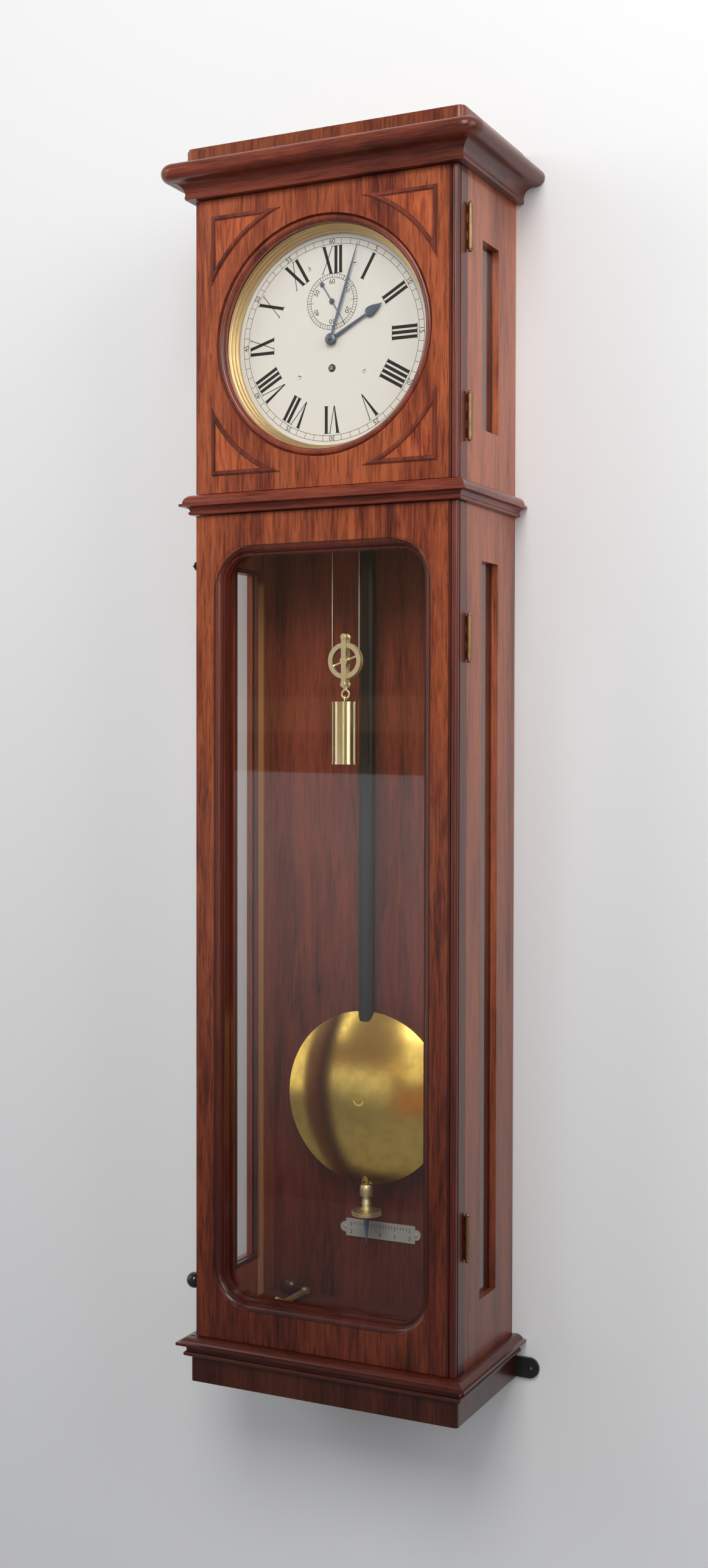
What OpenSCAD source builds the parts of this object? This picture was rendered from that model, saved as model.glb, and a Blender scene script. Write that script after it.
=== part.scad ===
// Wall-hung regulator clock with two glazed doors, a silvered one-piece dial
// and a seconds pendulum. The case stands against the wall plane y = 0 and
// faces -y. Millimetres, +z up, origin at the hole it hangs from.

/* [Case] */
// Width of the case across its sides
case_w = 350; // [300:1:420]
// Depth from the wall to the face of the doors
case_d = 186; // [175:1:240]
// Thickness of both doors
door_t = 28; // [24:0.5:34]
// Thickness of the side panels
side_t = 16; // [15:0.5:22]
// Thickness of the backboard
back_t = 12; // [8:0.5:18]
// Height of the plinth
plinth_h = 32; // [24:0.5:45]
// Height of the base moulding above the plinth
base_mould_h = 23.5; // [20:0.5:26]
// Height of the trunk door's place
trunk_h = 1023; // [900:1:1250]
// Height of the mid moulding
mid_h = 25; // [22:0.5:30]
// Height of the hood door's place
hood_h = 361.5; // [340:0.5:420]
// Height of the cornice moulding
cornice_h = 40.5; // [38:0.5:50]
// Height of the crest block
crest_h = 21.5; // [14:0.5:40]
// How far the crest stands out past the sides
crest_out = 10.5; // [6:0.5:14]
// How far the plinth stands out past the sides
plinth_out = 5; // [3:0.5:8]
// Thickness of the floor board in the trunk
floor_t = 13; // [8:0.5:16]
// Height of the floor board's top above the base moulding
floor_up = 16.5; // [14:0.5:24]
// Gap all round each door
door_gap = 0.8; // [0.5:0.1:1.5]

/* [Mouldings] */
// Radius of the cornice's round nose
nose_r = 10.5; // [8:0.5:10.5]
// Centre of the cornice's nose beyond the case
nose_out = 27; // [24:0.5:32]
// Plan centre of the cornice's rounded corners beyond the case
corner_out = 16; // [13:0.5:16]
// Radius of the hollow under the nose
cove_r = 13; // [10:0.5:14]
// Radius of the bead at the cornice's foot
foot_bead_r = 2.8; // [2:0.1:3.5]
// Projection of the mid moulding's fillet
mid_out = 16; // [14:0.5:20]
// Projection of the base moulding's fillet
base_out = 19; // [17:0.5:24]
// Radius of the bead on the doors' right corner
bead_r = 4.8; // [3.5:0.1:6]

/* [Side windows] */
// Width of the side windows
win_w = 53; // [30:0.5:70]
// Distance from the wall to the side windows' back edge
win_back = 58; // [40:0.5:66]
// Height of the hood's side windows
hood_win_h = 224; // [150:1:260]
// Height of the trunk's side windows
trunk_win_h = 887; // [600:1:887]
// Height of the trunk window's foot above the trunk door's foot
trunk_win_up = 72; // [60:1:90]
// Height of the hood window's foot above the hood door's foot
hood_win_up = 67; // [60:1:80]
// Thickness of the glass
glass_t = 3; // [2:0.1:4]
// Depth of the side windows' panes behind the outer face
pane_in = 8; // [6:0.5:9]
// Width of the rebate and bead that hold a pane
rebate = 6; // [4:0.5:8]

/* [Trunk door] */
// Width of the trunk door's opening at its face
open_w = 290.8; // [240:0.5:300]
// Offset of the opening from the middle of the case
open_x = -4.4; // [-8:0.1:4]
// Width of the trunk door's top rail
top_rail = 40; // [30:0.5:60]
// Width of the trunk door's bottom rail
bottom_rail = 41; // [30:0.5:60]
// Corner radius of the opening at its face
open_r = 44; // [30:0.5:60]
// Width of the moulding round the opening
open_mould = 11; // [9:0.5:14]
// Depth of the moulding round the opening
open_sink = 9; // [7:0.5:9]

/* [Hood door and dial] */
// Axis of dial, movement and pendulum from the middle of the case
axis_x = -2; // [-6:0.1:4]
// Height of the dial's centre above the hood door's foot
dial_up = 181; // [175:0.5:190]
// Radius of the round opening at the hood door's face
ring_r = 144.3; // [143:0.1:147]
// Width of the turned ring in the opening
ring_w = 10; // [8:0.5:10]
// Depth of the turned ring
ring_sink = 10; // [8:0.5:10]
// Radius of the dial that shows
sight_r = 127.3; // [120:0.1:129]
// Radius of the dial plate
dial_r = 136; // [132:0.5:138]
// Thickness of the dial plate
dial_t = 2.5; // [1.5:0.1:3]
// Half width of the spandrel frames
span_x = 150.8; // [149:0.1:152]
// Half height of the spandrel frames
span_z = 158.7; // [157:0.1:160]
// Radius of the curved side of the spandrels
span_r = 168; // [160:0.5:172]
// Width of the spandrel beads
span_bead = 5.5; // [4:0.5:7]

/* [Movement] */
// Front plate's inner face behind the dial's face
plate_back = 16.5; // [14.5:0.5:18.5]
// Clear distance between the plates
plate_gap = 44; // [42:0.5:44]
// Thickness of the plates
plate_t = 4; // [3:0.5:5]
// Width of the plates
plate_w = 104; // [100:1:130]
// Seconds arbor above the dial's centre
sec_up = 46; // [46:0.1:47]
// Winding arbor below the dial's centre
wind_dn = 34.1; // [33.5:0.1:38]
// Pallet arbor above the seconds arbor
pallet_up = 23.5; // [23.3:0.1:24]
// Radius of the escape wheel
escape_r = 17; // [15:0.1:17]
// Radius at which the line runs on barrel and pulley
line_run_r = 18.4; // [17:0.1:20]
// Thickness of the line
line_d = 1.5; // [0.8:0.1:1.6]
// Running clearance of the pivots, on the radius
fit = 0.05; // [0.02:0.01:0.1]

/* [Hands] */
// Length of the minute hand
minute_l = 118; // [100:1:121]
// Length of the hour hand
hour_l = 78; // [60:1:84]
// Length of the seconds hand
second_l = 33; // [26:0.5:34]
// Minutes past the hour shown
minutes = 3; // [0:0.5:59]
// Hour shown
hours = 2; // [0:1:11]
// Second shown
seconds = 24.7; // [0:0.1:59.9]

/* [Pendulum and weight] */
// Distance from the wall to the pendulum's plane
pend_y = 55; // [48:0.5:56]
// Suspension to the bob's centre
pend_l = 1007; // [900:1:1040]
// Radius of the bob
bob_r = 110; // [70:0.5:112]
// Thickness of the bob at its middle
bob_t = 50; // [36:0.5:54]
// Width of the rod
rod_w = 22; // [18:0.5:26]
// Thickness of the rod
rod_t = 14; // [10:0.5:16]
// Diameter of the rating nut
nut_d = 38; // [24:0.5:50]
// Weight's axis behind the front plate's inner face
weight_back = 22; // [20:0.5:24]
// Diameter of the weight
weight_d = 35.3; // [25:0.1:40]
// Height of the weight
weight_h = 77; // [50:0.5:110]
// Pulley's axle below the dial's centre
pulley_dn = 386; // [150:1:800]
// Diameter of the pulley over its flanges
pulley_d = 44.7; // [40:0.1:46]

/* [Fittings] */
// Length of the hinge barrels without their finials
hinge_l = 50; // [40:0.5:60]
// Diameter of the hinge barrels
hinge_d = 6.5; // [5:0.1:6.6]
// Height of the wall-fixing bar
bar_h = 25.7; // [16:0.1:28]
// Half length of the wall-fixing bar
bar_l = 212; // [208:0.5:240]
// Diameter of the screw holes in the wall-fixing bar
bar_hole = 4.5; // [3:0.1:6]
// Diameter of the hole that the clock hangs from
hang_d = 10; // [6:0.5:14]
// Width of the silvered beat scale
beat_w = 98; // [80:1:120]
// Height of the silvered beat scale
beat_h = 22.5; // [16:0.5:30]

/* [Hidden] */
$fn = 72;

hx = case_w / 2;
joint_y = case_d - door_t;
shut = 0.5;
carcass_d = joint_y - shut;
z_base = plinth_h + base_mould_h;
z_mid = z_base + trunk_h;
z_hood = z_mid + mid_h;
z_head = z_hood + hood_h;
z_top = z_head + cornice_h;
hang_z = z_head - 25;
bar_z = 15.2;
in_w = case_w - 2 * side_t;
floor_z = z_base + floor_up;
dial_z = z_hood + dial_up;
dial_y = joint_y - 1.5;
sec_z = dial_z + sec_up;
wind_z = dial_z - wind_dn;
piv_z = sec_z + pallet_up;
bob_z = piv_z - pend_l;
plate_y = dial_y - plate_back;
weight_y = plate_y - weight_back;
front_y = plate_y + plate_t;
rear_y = plate_y - plate_gap;
pulley_z = dial_z - pulley_dn;
line_g = 0.3;
nut_dn = bob_r + 16;
nut_h = 23.6;
open_h = trunk_h - top_rail - bottom_rail;
seat_t = 18;
seat_z = dial_z - 78.5;
axle_x = hx + 3.5;
m_great = 2 * wind_dn / 156;
m_centre = 0.46;
m_third = 0.46;
cd_ct = 54 * m_centre;
cd_te = 51 * m_third;
third_up = (sec_up * sec_up + cd_ct * cd_ct - cd_te * cd_te) / (2 * sec_up);
third_rt = sqrt(cd_ct * cd_ct - third_up * third_up);
ang_ct = atan2(third_up, third_rt);
ang_te = atan2(sec_up - third_up, -third_rt);
idle_rt = 15;
hinge_hood = [z_hood + 75, z_hood + 294];
hinge_trunk = [z_base + 159, z_base + 865];
wood = [0.56, 0.24, 0.14];
dark_wood = [0.36, 0.14, 0.09];
inner_wood = [0.38, 0.2, 0.12];
brass = [0.78, 0.64, 0.32];
pale_brass = [0.8, 0.76, 0.52];
silvered = [0.87, 0.84, 0.79];
steel = [0.6, 0.62, 0.65];
blued = [0.16, 0.22, 0.38];
ebony = [0.1, 0.1, 0.11];
pane = [0.8, 0.88, 0.9, 0.35];

module placed() { translate([0, 0, -hang_z]) children(); }
module facing(y) { translate([0, -y, 0]) rotate([90, 0, 0]) children(); }
module on_axis(y, z) { translate([axis_x, -y, z]) rotate([90, 0, 0]) children(); }
module box(x0, x1, y0, y1, z0, z1) { translate([x0, y0, z0]) cube([x1 - x0, y1 - y0, z1 - z0]); }
module rrect(w, h, r) {
    square([w, h - 2 * r], center = true);
    square([w - 2 * r, h], center = true);
    for (i = [-1, 1], j = [-1, 1]) translate([i * (w / 2 - r), j * (h / 2 - r)]) circle(r);
}
module both() { children(); mirror([1, 0, 0]) children(); }
function toothed(n, ro, rr, wt, wr, a0) = [for (i = [0:n - 1]) for (k = [0:3])
    let (a = a0 + 360 * i / n + [-wr, -wt, wt, wr][k] * 180 / n, r = (k == 0 || k == 3) ? rr : ro)
    [r * cos(a), r * sin(a)]];
module pinion(n, m, t, a0) {
    linear_extrude(t) polygon(toothed(n, m * (n / 2 + 0.8), m * (n / 2 - 1.15), 0.24, 0.42, a0));
}
module wheel(n, m, t, rim, arms, a0, hub_r, hub_t) {
    r = m * (n / 2 - 1.15);
    difference() {
        linear_extrude(t) polygon(toothed(n, m * (n / 2 + 0.8), r, 0.22, 0.5, a0));
        translate([0, 0, -1]) cylinder(r = r - rim, h = t + 2);
    }
    for (i = [0:arms - 1]) rotate(a0 + 360 * i / arms + 20)
        translate([0, -0.7 * rim / 2, 0]) cube([r - rim / 2, 0.7 * rim, t]);
    cylinder(r = hub_r, h = hub_t);
}

// Solid of a moulding that runs round front and sides with square mitres. The
// profile's first axis points out from the case, its second up.
module mitred(z0) {
    intersection() {
        translate([0, -case_d, z0]) rotate([90, 0, -90])
            linear_extrude(case_w + 120, center = true) union() { children(); translate([-case_d, 0]) square([case_d, $mh]); }
        union() {
            both() translate([hx, 1, z0]) rotate([90, 0, 0])
                linear_extrude(case_d + 60) union() { children(); translate([-hx, 0]) square([hx, $mh]); }
        }
        translate([-hx - 60, -case_d - 60, z0]) cube([case_w + 120, case_d + 60, $mh]);
    }
}
module carcass_cut() { box(-hx, hx, -carcass_d, 1, -1, z_top + 60); }

// Case

module windows() {
    for (w = [[z_base + trunk_win_up, trunk_win_h], [z_hood + hood_win_up, hood_win_h]]) {
        box(hx - side_t - 1, hx + 1, -win_back - win_w, -win_back, w[0], w[0] + w[1]);
        box(hx - side_t - 1, hx - pane_in, -win_back - win_w - rebate, -win_back + rebate,
            w[0] - rebate, w[0] + w[1] + rebate);
    }
}
module leaf_seat(zc) {
    box(hx - side_t + 2, hx + 1, -carcass_d - 1, -carcass_d + 1.3,
        zc - hinge_l / 2 - 0.1, zc + hinge_l / 2 + 0.1);
}
module side_panel(right) {
    difference() {
        box(hx - side_t, hx, -carcass_d, 0, plinth_h, z_top);
        windows();
        if (right) for (z = concat(hinge_hood, hinge_trunk)) leaf_seat(z);
    }
}
module side_left() { color(wood) placed() mirror([1, 0, 0]) side_panel(false); }
module side_right() { color(wood) placed() side_panel(true); }

module side_panes() {
    color(pane) placed() both()
        for (w = [[z_base + trunk_win_up, trunk_win_h], [z_hood + hood_win_up, hood_win_h]])
            box(hx - pane_in - glass_t, hx - pane_in, -win_back - win_w - rebate + 0.5, -win_back + rebate - 0.5,
                w[0] - rebate + 0.5, w[0] + w[1] + rebate - 0.5);
}

module pane_beads() {
    color(dark_wood) placed() both()
        for (w = [[z_base + trunk_win_up, trunk_win_h], [z_hood + hood_win_up, hood_win_h]])
            difference() {
                box(hx - side_t, hx - pane_in - glass_t, -win_back - win_w - rebate, -win_back + rebate,
                    w[0] - rebate, w[0] + w[1] + rebate);
                box(hx - side_t - 1, hx, -win_back - win_w, -win_back, w[0], w[0] + w[1]);
            }
}

module backboard() {
    color(inner_wood) placed() difference() {
        box(-hx + side_t, hx - side_t, -back_t, 0, 0, z_top);
        translate([0, 0, hang_z]) {
            box(-30, 30, -2.5, 1, -20, 20);
            rotate([90, 0, 0]) cylinder(d = hang_d + 14, h = 9);
        }
        box(-hx, hx, -4, 1, bar_z - bar_h / 2, bar_z + bar_h / 2);
    }
}
module hang_plate() {
    color(steel) placed() translate([0, 0, hang_z]) rotate([90, 0, 0]) linear_extrude(2.5)
        difference() {
            square([60, 40], center = true);
            circle(d = hang_d);
            for (i = [-1, 1]) translate([i * 23, 0]) circle(d = 4.4);
        }
}

module wall_bar() {
    color(ebony) placed() translate([0, 0, bar_z]) rotate([90, 0, 0]) linear_extrude(4)
        difference() {
            union() {
                square([2 * bar_l - bar_h, bar_h], center = true);
                for (i = [-1, 1]) translate([i * (bar_l - bar_h / 2), 0]) circle(d = bar_h);
            }
            for (i = [-1, 1]) translate([i * (bar_l - bar_h / 2 + 2), 0]) circle(d = bar_hole);
        }
}

module cornice_foot() {
    translate([0, 0]) square([foot_bead_r + 5, 2 * foot_bead_r]);
    translate([foot_bead_r + 5, foot_bead_r]) circle(foot_bead_r);
    difference() {
        square([cove_r + 10, cornice_h - 2 * nose_r]);
        translate([cove_r + 10, cornice_h - 2 * nose_r - cove_r]) circle(cove_r);
        translate([10, -1]) square([cove_r + 1, cornice_h - 2 * nose_r - cove_r + 1]);
    }
}
module cornice() {
    ac = hx + corner_out;
    color(dark_wood) placed() difference() {
        union() {
            mitred(z_head, $mh = cornice_h - 2 * nose_r) cornice_foot();
            translate([0, 0, z_top - 2 * nose_r]) linear_extrude(2 * nose_r) union() {
                translate([-ac, -case_d - nose_out]) square([2 * ac, case_d + nose_out]);
                translate([-hx - nose_out, -case_d - corner_out])
                    square([case_w + 2 * nose_out, case_d + corner_out]);
                for (i = [-1, 1]) translate([i * ac, -case_d - corner_out])
                    circle(nose_out - corner_out);
            }
            translate([0, -case_d - nose_out, z_top - nose_r]) rotate([0, 90, 0])
                cylinder(r = nose_r, h = 2 * ac, center = true);
            both() {
                translate([hx + nose_out, 0, z_top - nose_r]) rotate([90, 0, 0])
                    cylinder(r = nose_r, h = case_d + corner_out);
                translate([ac, -case_d - corner_out, z_top - nose_r]) rotate([0, 0, -90])
                    rotate_extrude(angle = 90) translate([nose_out - corner_out, 0]) circle(nose_r);
            }
        }
        carcass_cut();
    }
}

module crest() {
    r = 9;
    w = case_w + 2 * crest_out;
    d = case_d + crest_out - 1;
    color(dark_wood) placed() translate([0, 0, z_top]) {
        linear_extrude(crest_h - 3) union() {
            translate([-w / 2 + r, -d]) square([w - 2 * r, d]);
            translate([-w / 2, -d + r]) square([w, d - r]);
            for (i = [-1, 1]) translate([i * (w / 2 - r), -d + r]) circle(r);
        }
        translate([0, 0, crest_h - 3]) linear_extrude(3) union() {
            translate([-w / 2 + r, -d + 1.5]) square([w - 2 * r, d - 1.5]);
            translate([-w / 2 + 1.5, -d + r]) square([w - 3, d - r]);
            for (i = [-1, 1]) translate([i * (w / 2 - r), -d + r]) circle(r - 1.5);
        }
    }
}

module mid_profile() {
    difference() {
        translate([mid_out - 14.5, mid_h - 11.8]) circle(11.5);
        translate([-20, -20]) square([60, 20 + mid_h - 12]);
    }
    translate([0, mid_h - 15]) square([mid_out, 3]);
    difference() {
        square([mid_out - 4, mid_h - 15]);
        translate([mid_out - 4, mid_h - 15 - 6.5]) circle(6.5);
        translate([mid_out - 10.5, -1]) square([9, mid_h - 15 - 6.5 + 1]);
    }
    translate([mid_out - 11, 2.2]) circle(2.2);
}
module mid_moulding() {
    color(dark_wood) placed() difference() {
        mitred(z_mid, $mh = mid_h) mid_profile();
        carcass_cut();
    }
}

module base_profile() {
    intersection() {
        translate([base_out - 14, base_mould_h - 12]) circle(12);
        translate([0, base_mould_h - 6]) square([base_out, 6]);
    }
    translate([0, base_mould_h - 9]) square([base_out, 3.4]);
    difference() {
        square([base_out - 4, base_mould_h - 9]);
        translate([base_out - 4, base_mould_h - 9 - 6]) circle(6);
        translate([base_out - 10, -1]) square([7, base_mould_h - 9 - 6 + 1]);
    }
    translate([base_out - 10, 3]) circle(3);
}
module base_moulding() {
    color(dark_wood) placed() difference() {
        mitred(plinth_h, $mh = base_mould_h) base_profile();
        carcass_cut();
    }
}

module plinth() {
    r = 4;
    w = case_w + 2 * plinth_out;
    d = case_d + plinth_out;
    color(dark_wood) placed() difference() {
        linear_extrude(plinth_h) union() {
            translate([-w / 2 + r, -d]) square([w - 2 * r, d]);
            translate([-w / 2, -d + r]) square([w, d - r]);
            for (i = [-1, 1]) translate([i * (w / 2 - r), -d + r]) circle(r);
        }
        box(-hx + side_t, hx - side_t, -case_d + 20, 1, -1, plinth_h + 1);
        box(-hx - 20, hx + 20, -4, 1, bar_z - bar_h / 2, bar_z + bar_h / 2);
    }
}

module cross_rail() {
    color(inner_wood) placed() box(-in_w / 2, in_w / 2, -carcass_d, -carcass_d + 18,
        z_mid - 12, z_hood + 12);
}

module floor_board() {
    color(inner_wood) placed() box(-in_w / 2, in_w / 2, -carcass_d, -back_t, floor_z - floor_t, floor_z);
}

// Seatboard with slots for the line

module seatboard() {
    color(inner_wood) placed() difference() {
        union() {
            box(-in_w / 2, in_w / 2, -front_y - 6, -win_back - win_w - 2, seat_z - seat_t, seat_z);
            box(-70, 70, -win_back - win_w - 3, -rear_y + plate_t + 8, seat_z - seat_t, seat_z);
        }
        for (i = [-1, 1])
            box(axis_x + i * line_run_r - 6, axis_x + i * line_run_r + 6, -weight_y - 12, -weight_y + 12,
                seat_z - seat_t - 1, seat_z + 1);
    }
}
module seat_cheeks() {
    color(inner_wood) placed() both() difference() {
        box(in_w / 2 - 16, in_w / 2, -front_y - 6, -win_back - win_w - 2, seat_z - seat_t - 40, seat_z - seat_t);
        translate([in_w / 2 - 22, 0, seat_z - seat_t - 46]) rotate([90, 0, 0])
            cylinder(r = 18, h = 400);
    }
}

// Silvered beat scale on the backboard and the bracket of the suspension

module beat_scale() {
    z = bob_z - 181;
    color(silvered) placed() translate([axis_x, -back_t, z]) rotate([90, 0, 0]) {
        linear_extrude(2) difference() {
            union() {
                square([beat_w, beat_h], center = true);
                for (i = [-1, 1]) translate([i * (beat_w / 2 + 1.5), 0]) circle(6.6);
            }
            for (i = [-1, 1]) translate([i * (beat_w / 2 + 1.5), 0]) circle(d = 3);
        }
    }
    color(brass) placed() translate([axis_x, -back_t, z]) rotate([90, 0, 0])
        for (i = [-1, 1]) translate([i * (beat_w / 2 + 1.5), 0, 0]) {
            cylinder(d = 3, h = 2);
            translate([0, 0, 2]) cylinder(d1 = 5.4, d2 = 3.6, h = 1);
        }
}

module suspension_cock() {
    color(brass) placed() translate([axis_x, 0, piv_z]) {
        difference() {
            box(-25, 25, -back_t - 4, -back_t, -14, 34);
            for (i = [-1, 1], j = [-8, 28]) translate([i * 19, -back_t + 1, j]) rotate([90, 0, 0])
                cylinder(d = 4, h = 6);
        }
        both() difference() {
            box(5, 11, -pend_y - 9, -back_t - 4, 2, 18);
            translate([4, -pend_y, 10]) rotate([0, 90, 0]) cylinder(d = 3, h = 9);
        }
        difference() {
            box(-5, 5, -pend_y - 6, -pend_y + 6, 3, 16);
            translate([-6, -pend_y, 10]) rotate([0, 90, 0]) cylinder(d = 3, h = 12);
        }
    }
    color(steel) placed() translate([axis_x, -pend_y, piv_z]) {
        box(-0.15, 0.15, -4.5, 4.5, 0.2, 3);
        translate([-13, 0, 10]) rotate([0, 90, 0]) cylinder(d = 3, h = 26);
    }
}

// Movement

module pivots(extra) {
    translate([0, -wind_dn]) circle(extra[0]);
    circle(extra[1]);
    translate([third_rt, third_up]) circle(extra[2]);
    translate([0, sec_up]) circle(extra[3]);
    translate([0, sec_up + pallet_up]) circle(extra[4]);
}
module plate_outline() {
    translate([-plate_w / 2, -78.5]) square([plate_w, 78.5 + 97]);
}
module front_plate() {
    color(brass) placed() on_axis(plate_y, dial_z) {
        linear_extrude(plate_t) difference() {
            plate_outline();
            pivots([3.5 + fit, 1.5 + fit, 0.7 + fit, 0.8 + fit, 0.8 + fit]);
        }
        translate([idle_rt, 0, plate_t]) cylinder(d = 2.5, h = 9);
    }
}
module back_plate() {
    color(brass) placed() on_axis(rear_y - plate_t, dial_z) {
        linear_extrude(plate_t) difference() {
            plate_outline();
            pivots([2 + fit, 1 + fit, 0.7 + fit, 0.8 + fit, 5]);
        }
        difference() {
            translate([-26, sec_up + pallet_up - 7, -14]) cube([52, 14, 14]);
            translate([-20, sec_up + pallet_up - 8, -10]) cube([40, 16, 11]);
            translate([0, sec_up + pallet_up, -15]) cylinder(r = 0.8 + fit, h = 6);
        }
    }
}
module pillars() {
    color(brass) placed() on_axis(rear_y, dial_z) {
        for (p = [[-42, -66], [42, -66], [-42, 82], [42, 82]]) translate([p[0], p[1], 0])
            rotate_extrude() union() {
                square([3.2, plate_gap]);
                square([5.5, 4]);
                translate([0, plate_gap - 4]) square([5.5, 4]);
                translate([3.2, plate_gap / 2]) circle(2);
            }
        for (p = [[-30.5, 89], [30.5, 89], [-43.6, -40.6], [43.6, -40.6]])
            translate([p[0], p[1], plate_gap + plate_t])
                cylinder(d = 7, h = dial_y - dial_t - front_y);
    }
}

module dial_plate() {
    color(silvered) placed() on_axis(dial_y - dial_t, dial_z) linear_extrude(dial_t) difference() {
        circle(dial_r, $fn = 180);
        circle(4.6);
        translate([0, -wind_dn]) circle(4.8);
        translate([0, sec_up]) circle(1.6);
    }
}
module dial_screws() {
    color(blued) placed() on_axis(dial_y, dial_z)
        for (p = [[-30.5, 89], [30.5, 89], [-43.6, -40.6], [43.6, -40.6]])
            translate([p[0], p[1], 0]) difference() {
                cylinder(d = 6, h = 0.8);
                translate([-4, -0.4, 0.4]) cube([8, 0.8, 1]);
            }
}

module centre_wheel() {
    color(brass) placed() on_axis(rear_y, dial_z) {
        translate([0, 0, 5]) wheel(96, m_centre, 1.4, 2.4, 5, ang_ct, 3.4, 3.4);
        translate([0, 0, plate_gap - 9.5]) pinion(12, m_great, 6.5, 285);
        translate([0, 0, 0.2]) cylinder(r = 1.6, h = plate_gap - 0.4);
        translate([0, 0, -plate_t]) cylinder(r = 1, h = plate_t + 0.3);
        translate([0, 0, plate_gap - 0.3]) cylinder(r = 1.5, h = plate_t + 24.3);
        translate([0, 0, plate_gap + plate_t + 0.3]) {
            cylinder(r = 2.5, h = 17);
            translate([0, 0, 0.2]) pinion(20, 0.375, 2.4, 0);
        }
    }
}
module hour_wheel() {
    color(brass) placed() on_axis(front_y, dial_z) difference() {
        union() {
            translate([0, 0, 3.6]) wheel(60, 0.4, 1.4, 2, 4, 3, 4.2, 1.4);
            translate([0, 0, 3.6]) cylinder(r = 4.2, h = 13.4);
        }
        translate([0, 0, 3]) cylinder(r = 2.5 + fit, h = 15);
    }
}
module minute_wheel() {
    color(brass) placed() on_axis(front_y, dial_z) translate([idle_rt, 0, 0]) difference() {
        union() {
            translate([0, 0, 0.6]) wheel(60, 0.375, 1.4, 2, 4, 183, 2.6, 1.4);
            translate([0, 0, 2]) pinion(15, 0.4, 3.4, 180);
        }
        translate([0, 0, -1]) cylinder(r = 1.25 + fit, h = 8);
    }
}
module third_wheel() {
    color(brass) placed() on_axis(rear_y, dial_z) translate([third_rt, third_up, 0]) {
        translate([0, 0, 29]) wheel(90, m_third, 1.4, 2.2, 5, ang_te, 3, 2.6);
        translate([0, 0, 3]) pinion(12, m_centre, 6, ang_ct + 195);
        translate([0, 0, 0.2]) cylinder(r = 1.3, h = plate_gap - 0.4);
        translate([0, 0, -plate_t]) cylinder(r = 0.7, h = plate_gap + 2 * plate_t);
    }
}
module escape_wheel() {
    r = escape_r;
    color(brass) placed() on_axis(rear_y, sec_z) {
        translate([0, 0, 15.5]) linear_extrude(1.2) difference() {
            polygon([for (i = [0:29]) for (k = [0:3])
                let (a = 12 * i + [0, 6.6, 7.6, 7.2][k], q = [r - 4, r - 0.9, r, r - 4][k])
                [q * cos(a), q * sin(a)]]);
            difference() {
                circle(r - 6);
                for (i = [0:4]) rotate(72 * i) translate([0, -0.8]) square([r, 1.6]);
                circle(3.2);
            }
        }
        translate([0, 0, 14.5]) cylinder(r = 2.6, h = 3.6);
        translate([0, 0, 26]) pinion(12, m_third, 6.5, ang_te + 195);
        translate([0, 0, 0.2]) cylinder(r = 1.3, h = plate_gap - 0.4);
        translate([0, 0, -plate_t]) cylinder(r = 0.8, h = plate_gap + 2 * plate_t);
        translate([0, 0, plate_gap]) cylinder(r = 0.8, h = dial_y + 2.2 - plate_y);
    }
}
module great_wheel() {
    color(brass) placed() on_axis(plate_y, wind_z) translate([0, 0, -7.4]) {
        difference() {
            wheel(144, m_great, 2, 4, 6, 90, 7, 3.6);
            translate([0, 0, -1]) cylinder(r = 4 + fit, h = 8);
        }
        translate([0, 0, -1.6]) linear_extrude(1.6) polygon([[15.6, 20.4], [18.6, 19.2],
            [16.6, 12.5], [12.7, 7.2], [12, 8.2], [14.2, 13.6]]);
        translate([17.2, 19.6, 0]) cylinder(r = 1.6, h = 3.2);
    }
}
module barrel() {
    s = line_run_r - line_d / 2 - line_g;
    color(brass) placed() on_axis(rear_y, wind_z) {
        translate([0, 0, 10]) cylinder(r = 20, h = 1.5);
        translate([0, 0, 11.5]) cylinder(r = s - 0.8, h = 21);
        translate([0, 0, 12]) cylinder(r = s, h = 13);
        translate([0, 0, 31]) cylinder(r = 20, h = 1.5);
        translate([0, 0, 32]) linear_extrude(4.1) polygon([for (i = [0:23]) for (k = [0:1])
            let (a = 15 * i + [0, 3][k], q = [14, 11.6][k]) [q * cos(a), q * sin(a)]]);
        translate([0, 0, 4]) cylinder(r = 4, h = plate_gap - 4.3);
        translate([0, 0, -plate_t]) cylinder(r = 2, h = 9);
        translate([0, 0, plate_gap - 1]) cylinder(r = 3.5, h = plate_t + 1.5);
        translate([-2.5, -2.5, plate_gap + plate_t]) cube([5, 5, dial_y + 1.5 - front_y]);
    }
}
module pallets() {
    p = [[0, 3.4], [5, 2.6], [13.6, -4.6], [16, -10.6], [14.1, -12.1], [12.4, -10.5], [12, -7.2], [4, -3], [0, -3]];
    color(steel) placed() on_axis(rear_y, piv_z) {
        translate([0, 0, 15.5]) linear_extrude(1.2) both() polygon(p);
        translate([0, 0, 14.6]) cylinder(r = 3, h = 3);
        cylinder(r = 1.3, h = plate_gap - 0.3);
        translate([0, 0, -plate_t - 13]) cylinder(r = 0.8, h = 2 * plate_t + plate_gap + 13);
        translate([0, 0, -plate_t - 9.7]) cylinder(r = 1.3, h = 14);
        translate([0, 0, -plate_t - 9]) cylinder(r = 4, h = 5);
        translate([-2.2, -100, -plate_t - 7]) cube([4.4, 100, 2.6]);
        translate([-rod_w / 2 - 3.2, -103, -plate_t - 7]) cube([rod_w + 6.4, 6, 2.6]);
        both() translate([rod_w / 2 + 0.3, -103, -rear_y + pend_y - 5])
            cube([2.9, 6, rear_y - plate_t - pend_y + 0.6]);
    }
}

// Hands

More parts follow.
